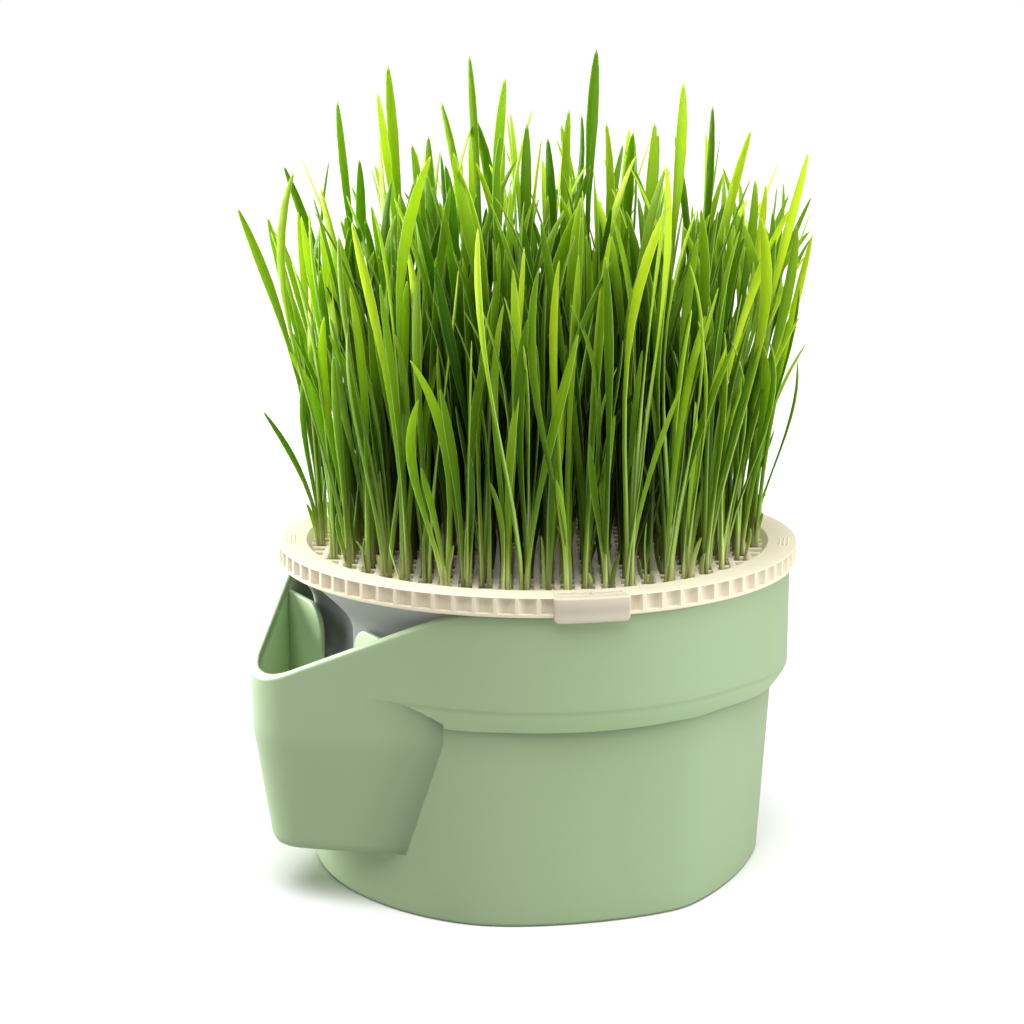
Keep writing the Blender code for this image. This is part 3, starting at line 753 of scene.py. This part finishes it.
def curved_block(angle, inner, outer, width, low, high, edge, corner=0.0):
    """Block with soft edges bent round the axis: its faces follow circles of the ring."""
    size = Vector((width, outer - inner, high - low))
    bm = bmesh.new()
    bmesh.ops.create_cube(bm, size=1.0, matrix=Matrix.Diagonal(size).to_4x4())
    if corner:
        upright = [e for e in bm.edges if abs(e.verts[0].co.y - e.verts[1].co.y) > 0.5 * size.y
                   and e.verts[0].co.z < 0]
        soften(bm, upright, corner, 5)
    rims = [e for e in bm.edges
            if len(e.link_faces) == 2 and e.calc_face_angle() > radians(60)]
    soften(bm, rims, edge)
    cuts = max(2, round(width / (1.2 * MM)))
    for i in range(1, cuts):
        cut_across(bm, (size.x * (i / cuts - 0.5), 0.0, 0.0), (1.0, 0.0, 0.0))
    for vert in bm.verts:
        across, away, up = vert.co
        radius = 0.5 * (inner + outer) + away
        vert.co = at(angle + across / outer, radius, 0.5 * (low + high) + up)
    return bm


def lid_tab():
    """Tab over the ring's edge; its lower half steps in and hangs just clear of the collar."""
    bm = curved_block(
        TAB_ANGLE, TAB_RADIUS - TAB_DEPTH, TAB_RADIUS, TAB_WIDTH, TAB_BOTTOM, TAB_TOP, TAB_EDGE,
        TAB_CORNER,
    )
    for height in (LID_BOTTOM + 0.1 * MM, 91.1 * MM, 91.4 * MM):
        cut_across(bm, (0.0, 0.0, height), (0.0, 0.0, 1.0))
    for vert in bm.verts:
        radius = hypot(vert.co.x, vert.co.y)
        wanted = radius
        if vert.co.z < TAB_STEP_HEIGHT and radius > TAB_RADIUS - TAB_EDGE:
            wanted = radius - TAB_STEP
        if vert.co.z < LID_BOTTOM + 0.05 * MM:
            wanted = max(wanted, COLLAR_RADIUS + TAB_CLEARANCE)
        vert.co.x *= wanted / radius
        vert.co.y *= wanted / radius
    return bm


lid_plastic = plastic("lid_plastic", CREAM, CREAM_DEEP, 0.4, 0.2, glow=0.15)
ring = new_piece(
    "lid_ring", bent_sheet(SCOOPS * SCOOP_STEPS, len(RING_LEVELS), ring_point), lid_plastic, 35,
)
# The tab's colour is darkened by painted shade.
tab = new_piece("lid_tab", lid_tab(), lid_plastic, 35, lambda point: TAB_SHADE)


def raised_frame(angle):
    """Low rectangular rim on the ring's top."""
    inner, outer = FRAME_RADIUS - 0.5 * FRAME_DEPTH, FRAME_RADIUS + 0.5 * FRAME_DEPTH
    low, high = LID_TOP - PIP_SINK, LID_TOP + PIP_RISE
    end = 0.5 * (FRAME_LENGTH - FRAME_BAR) / FRAME_RADIUS
    bars = [
        (angle, inner, inner + FRAME_BAR, FRAME_LENGTH),
        (angle, outer - FRAME_BAR, outer, FRAME_LENGTH),
        (angle - end, inner, outer, FRAME_BAR), (angle + end, inner, outer, FRAME_BAR),
    ]
    whole = bmesh.new()
    for turn, near, far, width in bars:
        bm = curved_block(turn, near, far, width, low, high, 0.3 * PIP_RISE)
        mesh = mesh_of("frame_bar", bm)
        whole.from_mesh(mesh)
        bpy.data.meshes.remove(mesh)
    return whole


def raised_pips(angle):
    """Three short rows of round pips on the ring's top."""
    bm = bmesh.new()
    height = LID_TOP + 0.5 * (PIP_RISE - PIP_SINK)
    for row in range(3):
        for column in range(9):
            turn = angle + (column - 4) * PIP_PITCH / FRAME_RADIUS
            place = at(turn, FRAME_RADIUS + (row - 1) * PIP_PITCH, height)
            bmesh.ops.create_cone(
                bm, cap_ends=True, segments=10, radius1=PIP_RADIUS, radius2=0.7 * PIP_RADIUS,
                depth=PIP_RISE + PIP_SINK, matrix=Matrix.Translation(place),
            )
    return bm


details = [new_piece("lid_pips_" + name, raised_pips(angle), lid_plastic, 35)
           for name, angle in PIP_PLACES]
for name, side in (("left", -1), ("right", 1)):
    middle = TAB_ANGLE + side * 0.56 * FRAME_LENGTH / FRAME_RADIUS
    details.append(new_piece("lid_frame_" + name, raised_frame(middle), lid_plastic, 35))
for piece in (ring, tab, *details):
    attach(piece, "root")
    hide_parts("lid")

# Lid mesh
# The square mesh inside the ring is part of the same cream moulding. Its bars run across each
# other in two layers, the upper ones towards the tab's side.
MESH_TURN = radians(60.0)
MESH_PITCH = 5.4 * MM
MESH_BAR = 1.7 * MM
MESH_TOP = 93.4 * MM
MESH_CROSS_TOP = 93 * MM
MESH_BOTTOM = 90.9 * MM
MESH_EDGE = 0.28 * MM
MESH_SINK = 0.4 * MM


def mesh_bars(along_view, top):
    """One layer of parallel bars whose ends are sunk in the ring."""
    bm = bmesh.new()
    reach = int(LID_OPENING / MESH_PITCH)
    for i in range(-reach, reach + 1):
        offset = i * MESH_PITCH
        half = sqrt(max(0.0, LID_OPENING ** 2 - offset ** 2)) + MESH_SINK
        size = Vector((MESH_BAR, 2 * half, top - MESH_BOTTOM))
        middle = Vector((offset, 0.0, 0.5 * (top + MESH_BOTTOM)))
        place = Matrix.LocRotScale(middle, None, size)
        bmesh.ops.create_cube(bm, size=1.0, matrix=place)
    soften(bm, [edge for edge in bm.edges if edge.calc_length() > 3 * MM], MESH_EDGE, 2)
    turn = Matrix.Rotation(MESH_TURN + (0.0 if along_view else pi / 2), 3, "Z")
    bmesh.ops.rotate(bm, verts=bm.verts, cent=(0.0, 0.0, 0.0), matrix=turn)
    return bm


for name, along_view, top in (("upper", True, MESH_TOP), ("lower", False, MESH_CROSS_TOP)):
    bars = new_piece("lid_mesh_" + name, mesh_bars(along_view, top), lid_plastic, sharp=35)
    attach(bars, "root")
    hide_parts("lid")

# Root mat
# White roots and the husks of the sprouted grain, matted together between the medium and the mesh.
MAT_BOTTOM = 87 * MM
MAT_TOP = 89.2 * MM
MAT_RADIUS = 63.4 * MM
HUSKS = 420
HUSK_SIZE = Vector((3.0, 1.4, 1.1)) * MM
HUSK_MARGIN = 4 * MM
MAT_BROWN = (0.115, 0.085, 0.045, 1.0)
MAT_LIGHT = (0.42, 0.37, 0.23, 1.0)
HUSK_TAN = (0.42, 0.27, 0.12, 1.0)
HUSK_LIGHT = (0.60, 0.44, 0.23, 1.0)
HUSK_SEED = 5


def root_mat():
    """Flat round mat."""
    bm = bmesh.new()
    bmesh.ops.create_cone(
        bm, cap_ends=True, segments=96, radius1=MAT_RADIUS, radius2=MAT_RADIUS,
        depth=MAT_TOP - MAT_BOTTOM,
        matrix=Matrix.Translation((0.0, 0.0, 0.5 * (MAT_TOP + MAT_BOTTOM))),
    )
    return bm


def husks():
    """Grain husks strewn over the mat at every angle."""
    rng = random.Random(HUSK_SEED)
    bm = bmesh.new()
    for _ in range(HUSKS):
        size = HUSK_SIZE * rng.uniform(0.8, 1.1)
        turn = Matrix.Rotation(rng.uniform(0.0, pi), 3, "Z")
        turn = turn @ Matrix.Rotation(rng.uniform(-0.25, 0.25), 3, "Y")
        radius = (MAT_RADIUS - HUSK_MARGIN) * sqrt(rng.random())
        place = at(rng.uniform(-pi, pi), radius, MAT_TOP + rng.uniform(-0.4, 0.2) * MM)
        bmesh.ops.create_icosphere(
            bm, subdivisions=1, radius=1.0, matrix=Matrix.LocRotScale(place, turn, size),
        )
    return bm


root_fibre = crumbly("root_fibre", MAT_BROWN, MAT_LIGHT, 0.9 * MM)
husk_skin = crumbly("husk_skin", HUSK_TAN, HUSK_LIGHT, 0.6 * MM)
for piece in (new_piece("root_mat", root_mat(), root_fibre, sharp=40),
              new_piece("grain_husks", husks(), husk_skin)):
    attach(piece, "root")
    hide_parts("grass")

# Wheatgrass
# Young wheat shoots, most of them six to fourteen centimetres tall, that come up through the mesh
# in small bunches. Each is a round pale stem that opens into one thin leaf, folded at its midrib.
GRASS_SEED = 23
VIEW_ANGLE = radians(60.0)
SHOOTS_PER_HOLE = 3.2
TALLEST = 232.5 * MM
SHOOT_ROOT = 88.8 * MM
STEM_WIDTH = 1.3 * MM
LEAF_THICKNESS = 0.30 * MM
LEAF_TIP = 21 * MM
LEAF_NARROW = 46 * MM
LEAF_OPEN = 42 * MM
LEAF_SHARES = [0.0, 0.004, 0.13, 0.27, 0.40, 0.52, 0.62, 0.71, 0.79, 0.86, 0.92, 0.96, 0.987, 1.0]
LEAF_LEVELS = len(LEAF_SHARES) - 1
LEAF_SIDES = 6
LEAF_WIDTH = 1.8
LEAF_WIDENING = 0.0100
LEAF_WIDEST = 130 * MM
LEAF_WIDTH_SPREAD = (0.72, 1.20)
STUB_HEIGHT = 26 * MM
STUB_WIDTHS = (1.3, 1.8)
LEAF_TAPER = (2.2, 0.62)
LEAF_FOLD = 0.30
LEAN_POWER = 1.8
SWAY_BULGE = 2.4
SHOOT_KINDS = [
    (0.06, 112 * MM, 128 * MM), (0.69, 55 * MM, 114 * MM),
    (0.79, 26 * MM, 55 * MM), (1.00, 7 * MM, 24 * MM),
]
RIM_SHORTENING = 0.13
SPREAD = 0.095
STIR = 0.082
SWAY = 0.10
TIP_REACH = 76.5 * MM
HERO_ROOT_SHARE = 0.80
HERO_TIPS = [
    (-83.4, 189.4), (-73.3, 199.7), (-73.3, 182.4), (-65.1, 187.4), (-63.7, 173.9), (-59.6, 195.5),
    (-56.1, 218.2), (-55.5, 185.8), (-44.9, 220.6), (-41.9, 211.3), (-41.1, 228.1), (-34.7, 204.0),
    (-30.2, 209.1), (-26.6, 218.4), (-18.5, 230.7), (-18.2, 213.4), (-9.1, 224.7), (-3.1, 212.1),
    (2.8, 207.7), (8.5, 216.3), (16.1, 232.4), (18.6, 212.9), (24.1, 206.4), (31.5, 213.0),
    (33.8, 209.4), (38.9, 223.4), (47.9, 217.1), (51.8, 190.9), (53.6, 198.1), (55.8, 188.7),
    (59.5, 185.3), (60.0, 210.5), (64.2, 195.6), (68.6, 180.8), (75.9, 182.5), (70.3, 129.7),
    (66.0, 107.7), (-77.5, 132.3), (-69.5, 154.0),
]
LEAF_GREEN = (0.045, 0.26, 0.001, 1.0)
LEAF_BRIGHT = (0.52, 0.78, 0.012, 1.0)
# Painted shade of outer and of inner shoots' blades, by height in millimetres.
OUTER_SHADE = [(90, 1.0), (105, 0.70), (125, 0.68), (150, 0.86), (175, 1.02), (205, 1.06)]
INNER_SHADE = [
    (90, 0.55), (104, 0.20), (130, 0.11), (150, 0.24), (170, 0.55), (195, 0.92), (210, 1.0),
]
STEM_WHITE = (0.62, 0.62, 0.30, 1.0)
STEM_PALE = (0.35, 0.50, 0.06, 1.0)
STEM_GREEN = (0.11, 0.34, 0.005, 1.0)
STEM_FADE = 60 * MM
MIDRIB_PALE = (0.36, 0.55, 0.12, 1.0)
# Painted highlight along the blades' edges.
EDGE_PAINTED_HIGHLIGHT = (0.58, 0.80, 0.26, 1.0)
# The blade turns from deep green to bright yellow-green with its random tone and with its painted
# light.
FRESH_BY_TONE = 0.28
FRESH_BY_LIGHT = 0.70
FRESH_BY_LIGHT_POWER = 2.5
VEINS = 9
VEIN_CONTRAST = 0.06


def hole_centres():
    """Centres of the mesh's square holes, turned with it."""
    reach = int(LID_OPENING / MESH_PITCH) + 1
    turn = Matrix.Rotation(MESH_TURN, 3, "Z")
    half_hole = 0.5 * (MESH_PITCH - MESH_BAR)
    centres = []
    for row in range(-reach, reach):
        for column in range(-reach, reach):
            x, y = (column + 0.5) * MESH_PITCH, (row + 0.5) * MESH_PITCH
            if hypot(abs(x) + half_hole, abs(y) + half_hole) < LID_OPENING:
                centres.append(turn @ Vector((x, y, 0.0)))
    return centres


def in_hole(rng, centre):
    """Root somewhere in a hole, clear of the bars."""
    room = 0.5 * (MESH_PITCH - MESH_BAR - STEM_WIDTH) - 0.2 * MM
    offset = Vector((rng.uniform(-room, room), rng.uniform(-room, room), 0.0))
    return centre + Matrix.Rotation(MESH_TURN, 3, "Z") @ offset + Vector((0.0, 0.0, SHOOT_ROOT))


def sown_shoots():
    """Shoots as (root, tip, width, facing, twist, sway), by a rule with seeded draws."""
    rng = random.Random(GRASS_SEED)
    shoots = []
    for centre in hole_centres():
        for _ in range(int(SHOOTS_PER_HOLE * rng.uniform(0.3, 1.7) + 0.5)):
            root = in_hole(rng, centre)
            outward = Vector((root.x, root.y, 0.0)) / LID_OPENING
            drawn = rng.random()
            low, high = next((low, high) for share, low, high in SHOOT_KINDS if drawn <= share)
            height = rng.uniform(low, high) * (1.0 - RIM_SHORTENING * outward.length ** 3)
            lean = outward * SPREAD * (outward.length + 0.25)
            lean += Vector((rng.gauss(0.0, STIR), rng.gauss(0.0, STIR), 0.0))
            tip = root + lean * height + Vector((0.0, 0.0, height))
            tip.z = min(tip.z, TALLEST - 6 * MM)
            too_far = max(1.0, hypot(tip.x, tip.y) / TIP_REACH)
            tip.x, tip.y = tip.x / too_far, tip.y / too_far
            shoots.append((root, tip, leaf_width(rng, height), rng.uniform(0.0, pi),
                           rng.uniform(-1.1, 1.1), sway_of(rng, height)))
    return shoots


def leaf_width(rng, height):
    """Width of a blade, wider on taller shoots."""
    if height < STUB_HEIGHT:
        return rng.uniform(*STUB_WIDTHS) * MM
    width = LEAF_WIDTH + LEAF_WIDENING * min(height, LEAF_WIDEST) / MM
    return width * rng.uniform(*LEAF_WIDTH_SPREAD) * MM


def sway_of(rng, height):
    """Sideways bulge of a shoot between its root and its tip."""
    return Vector((rng.gauss(0.0, SWAY), rng.gauss(0.0, SWAY))) * height


def hero_shoots():
    """The shoots that stand out of the head's outline, each with its root under its tip."""
    rng = random.Random(GRASS_SEED + 1)
    right = Vector((cos(VIEW_ANGLE), sin(VIEW_ANGLE), 0.0))
    near = Vector((sin(VIEW_ANGLE), -cos(VIEW_ANGLE), 0.0))
    centres = hole_centres()
    shoots = []
    for across, height in HERO_TIPS:
        depth = rng.uniform(-22, 22)
        tip = right * across * MM + near * depth * MM + Vector((0.0, 0.0, height * MM))
        wanted = (right * across + near * depth) * HERO_ROOT_SHARE * MM
        centre = min(centres, key=lambda point: (point - wanted).length)
        root = in_hole(rng, centre)
        width = leaf_width(rng, tip.z - root.z)
        facing = VIEW_ANGLE + rng.uniform(-0.7, 0.7)
        sway = 0.5 * sway_of(rng, tip.z - root.z)
        shoots.append((root, tip, width, facing, rng.uniform(-0.5, 0.5), sway))
    return shoots


def blank_leaf():
    """Six-sided tube of unit steps: X counts the sides, Y the levels; UV runs across and along."""
    bm = bmesh.new()
    bmesh.ops.create_grid(bm, x_segments=LEAF_SIDES, y_segments=LEAF_LEVELS, size=0.5)
    layer = bm.loops.layers.uv.new("UVMap")
    across = (1.0, 0.5, 0.0, 0.0, 0.5, 1.0, 1.0)

    def steps(vert):
        return (round((vert.co.x + 0.5) * LEAF_SIDES), round((vert.co.y + 0.5) * LEAF_LEVELS))

    for face in bm.faces:
        for loop in face.loops:
            side, level = steps(loop.vert)
            loop[layer].uv = (across[side], level / LEAF_LEVELS)
    for vert in bm.verts:
        side, level = steps(vert)
        tapered = 0.0 if level in (0, LEAF_LEVELS) else 1.0
        vert.co = (tapered * (side % LEAF_SIDES), level, 0.0)
    bmesh.ops.remove_doubles(bm, verts=bm.verts, dist=0.01)
    bmesh.ops.reverse_faces(bm, faces=bm.faces)
    return mesh_of("blank_leaf", bm)


def leaf_points(side, level, shoot):
    """Points of one shoot, from the blank's sides and levels."""
    root, tip, width, facing, twist, sway = shoot
    share = np.interp(level, range(LEAF_LEVELS + 1), LEAF_SHARES)
    length = (tip - root).length
    from_tip = length * (1 - share)
    open_length = min(LEAF_OPEN, 0.55 * length)
    flatness = 1 - smooth_step(open_length, 1.6 * open_length, from_tip)
    tip_length = min(LEAF_TIP, 0.3 * length)
    into_tip = np.clip(1 - from_tip / tip_length, 0.0, 1.0)
    taper = (1 - into_tip ** LEAF_TAPER[0]) ** LEAF_TAPER[1]
    narrow = smooth_step(0.85 * tip_length, min(LEAF_NARROW, 0.6 * length), from_tip)
    half = 0.5 * (STEM_WIDTH + (width - STEM_WIDTH) * (1 - narrow)) * taper
    turn = np.radians(30 + 60 * side)
    thick = 0.5 * STEM_WIDTH + (0.5 * LEAF_THICKNESS - 0.5 * STEM_WIDTH) * flatness
    ends = np.sign(np.cos(turn)) * (np.abs(np.cos(turn)) > 0.1)
    x = half * (np.cos(turn) * (1 - flatness) + ends * flatness)
    y = thick * np.sin(turn) * np.minimum(1.0, taper * 3)
    y -= LEAF_FOLD * half * flatness * np.abs(ends)
    bulge = SWAY_BULGE * share ** 2 * (share - 1)
    lean = share ** LEAN_POWER
    centre_x = root.x + (tip.x - root.x) * lean + sway.x * bulge
    centre_y = root.y + (tip.y - root.y) * lean + sway.y * bulge
    angle = facing + twist * (share - 0.5)
    return np.stack([
        centre_x + x * np.cos(angle) - y * np.sin(angle),
        centre_y + x * np.sin(angle) + y * np.cos(angle),
        root.z + (tip.z - root.z) * share,
    ], axis=1)


def leaves(name, shoots, rng, finish):
    """One piece of many shoots, copied from the blank and bent one by one."""
    blank = blank_leaf()
    count = len(blank.vertices)
    flat = np.empty(count * 3)
    blank.vertices.foreach_get("co", flat)
    side, level = flat.reshape(-1, 3)[:, 0], flat.reshape(-1, 3)[:, 1]
    bm = bmesh.new()
    for _ in shoots:
        bm.from_mesh(blank)
    mesh = mesh_of(name, bm)
    points = np.concatenate([leaf_points(side, level, shoot) for shoot in shoots])
    mesh.vertices.foreach_set("co", points.ravel())
    keep_values(mesh, "tone", np.repeat([rng.random() for _ in shoots], count))
    # Painted shade: inner shoots darker low down than outer ones, all lighter towards the top,
    # times a random brightness of each blade.
    reach = [hypot(shoot[0].x, shoot[0].y) for shoot in shoots]
    outer = np.repeat(smooth_step(42 * MM, 60 * MM, np.array(reach)), count)
    lit_outside = np.interp(points[:, 2] / MM, *zip(*OUTER_SHADE))
    lit_inside = np.interp(points[:, 2] / MM, *zip(*INNER_SHADE))
    own = np.repeat([rng.uniform(0.62, 1.22) for _ in shoots], count)
    keep_values(mesh, "shade", own * (lit_inside + (lit_outside - lit_inside) * outer))
    lengths = [(shoot[1] - shoot[0]).length for shoot in shoots]
    shares = np.interp(level, range(LEAF_LEVELS + 1), LEAF_SHARES)
    keep_values(mesh, "rise", np.concatenate([shares * length for length in lengths]))
    mesh.materials.append(finish)
    mesh.shade_smooth()
    mesh.update()
    bpy.data.meshes.remove(blank)
    return put_object(name, mesh)


def leaf_skin():
    """Leaf: pale stem, green blade turning yellower with its tone and its painted light, parallel
    veins, a light midrib and painted highlights along its edges.
    """
    finish, tree, shader = new_material("leaf_skin", 0.42, 0.09)
    place = add_node(tree, "UVMap", {}, uv_map="UVMap").outputs["UV"]
    across = add_node(tree, "SeparateXYZ", {"Vector": place}).outputs["X"]

    def attribute(name):
        return add_node(tree, "Attribute", {}, attribute_name=name).outputs["Fac"]

    def sum_of(operation, *values):
        return add_node(tree, "Math", dict(enumerate(values)), operation=operation).outputs[0]

    def ramp(value, *stops):
        node = add_node(tree, "ValToRGB", {"Fac": value})
        for _ in stops[2:]:
            node.color_ramp.elements.new(0.5)
        for element, (place, tone) in zip(node.color_ramp.elements, stops):
            element.position = place
            element.color = tone if isinstance(tone, tuple) else (tone, tone, tone, 1.0)
        return node.outputs["Color"]

    height = sum_of("DIVIDE", attribute("rise"), STEM_FADE)
    shade = attribute("shade")
    yellow_by_tone_and_light = sum_of("MULTIPLY", attribute("tone"), FRESH_BY_TONE)
    yellow_by_tone_and_light = sum_of("MULTIPLY_ADD", sum_of("POWER", shade, FRESH_BY_LIGHT_POWER), FRESH_BY_LIGHT, yellow_by_tone_and_light)
    blade = mix(tree, yellow_by_tone_and_light, LEAF_GREEN, LEAF_BRIGHT)
    stem = ramp(height, (0.09, STEM_WHITE), (0.24, STEM_PALE), (0.60, STEM_GREEN))
    stem_share = ramp(height, (0.0, 1.0), (0.22, 0.85), (0.5, 0.35), (0.9, 0.0))
    colour = mix(tree, stem_share, blade, stem)
    from_middle = sum_of("ABSOLUTE", sum_of("SUBTRACT", across, 0.5))
    colour = mix(tree, ramp(from_middle, (0.0, 0.35), (0.07, 0.0)), colour, MIDRIB_PALE)
    # Painted highlight along the edges.
    colour = mix(tree, ramp(from_middle, (0.44, 0.0), (0.5, 0.70)), colour, EDGE_PAINTED_HIGHLIGHT)
    wave = sum_of("SINE", sum_of("MULTIPLY", across, 2 * pi * VEINS))
    vein = sum_of("MULTIPLY_ADD", wave, VEIN_CONTRAST, 1.0)
    colour = mix(tree, 1.0, colour, vein, "MULTIPLY")
    bump = add_node(tree, "Bump", {"Height": wave, "Distance": 0.06 * MM, "Strength": 0.6})
    # The colour is multiplied by the painted shade.
    give(tree, shader, {
        "Base Color": mix(tree, 1.0, colour, shade, "MULTIPLY"), "Normal": bump.outputs["Normal"],
        "Subsurface Weight": 0.35, "Subsurface Radius": (0.7, 1.0, 0.1),
        "Subsurface Scale": 1 * MM,
    })
    return finish


leaf_finish = leaf_skin()
sown = sown_shoots()
half_way = len(sown) // 2
for name, shoots in (("shoots_far", sown[:half_way]), ("shoots_near", sown[half_way:]),
                     ("shoots_outer", hero_shoots())):
    piece = leaves(name, shoots, random.Random(GRASS_SEED + len(shoots)), leaf_finish)
    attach(piece, "root")
    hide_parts("grass")

# Studio
# A white table top and seamless backdrop, a large soft light overhead and one on each side. A weak
# light from the front lifts the plastics, and another the table's own white.
FLOOR_WHITE = (0.90, 0.90, 0.90, 1.0)
FLOOR_RETURN = (0.50, 0.50, 0.50, 1.0)
BACKDROP_WHITE = (1.0, 1.0, 1.0, 1.0)
BACKDROP_RETURN = 0.06
SOFTBOXES = (("left_softbox", -121, 25.0), ("right_softbox", 78, 7.2))
SOFTBOX_DISTANCE = 0.9
SOFTBOX_HEIGHT = 0.3
SOFTBOX_AIM = 0.09
SOFTBOX_SIZE = 0.7
scene = bpy.context.scene
scene.view_settings.view_transform = "Standard"
bm = bmesh.new()
bmesh.ops.create_grid(bm, x_segments=1, y_segments=1, size=6.0)
paper, tree, shader = new_material("floor_paper", 0.6, 0.2)
looked_at = add_node(tree, "LightPath", {}).outputs["Is Camera Ray"]
give(tree, shader, {"Base Color": mix(tree, looked_at, FLOOR_RETURN, FLOOR_WHITE)})
floor = new_piece("floor", bm, paper)


def softbox(name, angle, power):
    """Square soft light at an angle round the object, turned towards a point above the floor."""
    light = bpy.data.lights.new(name, "AREA")
    light.shape = "SQUARE"
    light.size = SOFTBOX_SIZE
    light.energy = power
    lamp = put_object(name, light)
    lamp.location = at(angle, SOFTBOX_DISTANCE, SOFTBOX_HEIGHT)
    towards = Vector((0.0, 0.0, SOFTBOX_AIM)) - lamp.location
    lamp.rotation_euler = towards.to_track_quat("-Z", "Y").to_euler()
    return lamp


def soft_sun(name, strength, tilt, spread):
    """Light from all over a round patch of the sky, tilted towards the camera's side."""
    light = bpy.data.lights.new(name, "SUN")
    light.energy = strength
    light.angle = radians(spread)
    lamp = put_object(name, light)
    lamp.rotation_euler = (radians(tilt), 0.0, VIEW_ANGLE)
    return lamp


def lit_group(name, pieces):
    """Collection for lamps that reach only these pieces."""
    group = bpy.data.collections.new(name)
    for piece in pieces:
        group.objects.link(piece)
    return group


soft_sun("overhead", 4.4, 14, 66)
object_pieces = [piece for piece in scene.objects if piece.type == "MESH" and piece != floor]
lit = lit_group("lit_by_softboxes", object_pieces)
for name, angle, power in SOFTBOXES:
    lamp = softbox(name, VIEW_ANGLE + radians(angle), power)
    lamp.light_linking.receiver_collection = lit
plastics = [piece for piece in lit.objects if piece.name.startswith(("pot", "bucket"))]
for name, strength, tilt, spread, reached in (
    ("front_fill", 0.36, 100, 40, lit_group("lit_plastics", plastics)),
    ("table_fill", 0.8, 0, 90, lit_group("lit_table", [floor])),
):
    lamp = soft_sun(name, strength, tilt, spread)
    lamp.data.use_shadow = False
    lamp.light_linking.receiver_collection = reached

world = bpy.data.worlds.new("studio_white")
world.use_nodes = True
scene.world = world
tree = world.node_tree
looked_at = add_node(tree, "LightPath", {}).outputs["Is Camera Ray"]
sockets = {"Factor": looked_at, "A": BACKDROP_RETURN, "B": 1.0}
strength = add_node(tree, "Mix", sockets, data_type="FLOAT").outputs["Result"]
give(tree, tree.nodes["Background"], {"Strength": strength, "Color": BACKDROP_WHITE})

# Camera
# A portrait lens a little above the lid, level from side to side, as in the photograph.
CAMERA_DISTANCE = 584.8 * MM
CAMERA_HEIGHT = 226.8 * MM
CAMERA_PITCH = radians(77.86)
CAMERA_AIM = radians(0.712)
CAMERA_LENS = 72.35
CAMERA_SENSOR = 36.0
camera_data = bpy.data.cameras.new("camera")
camera_data.lens = CAMERA_LENS
camera_data.sensor_width = CAMERA_SENSOR
camera_data.clip_start = 0.01
camera_data.dof.use_dof = False
camera = put_object("camera", camera_data)
camera.location = at(VIEW_ANGLE, CAMERA_DISTANCE, CAMERA_HEIGHT)
camera.rotation_euler = (CAMERA_PITCH, 0.0, VIEW_ANGLE + CAMERA_AIM)
scene.camera = camera
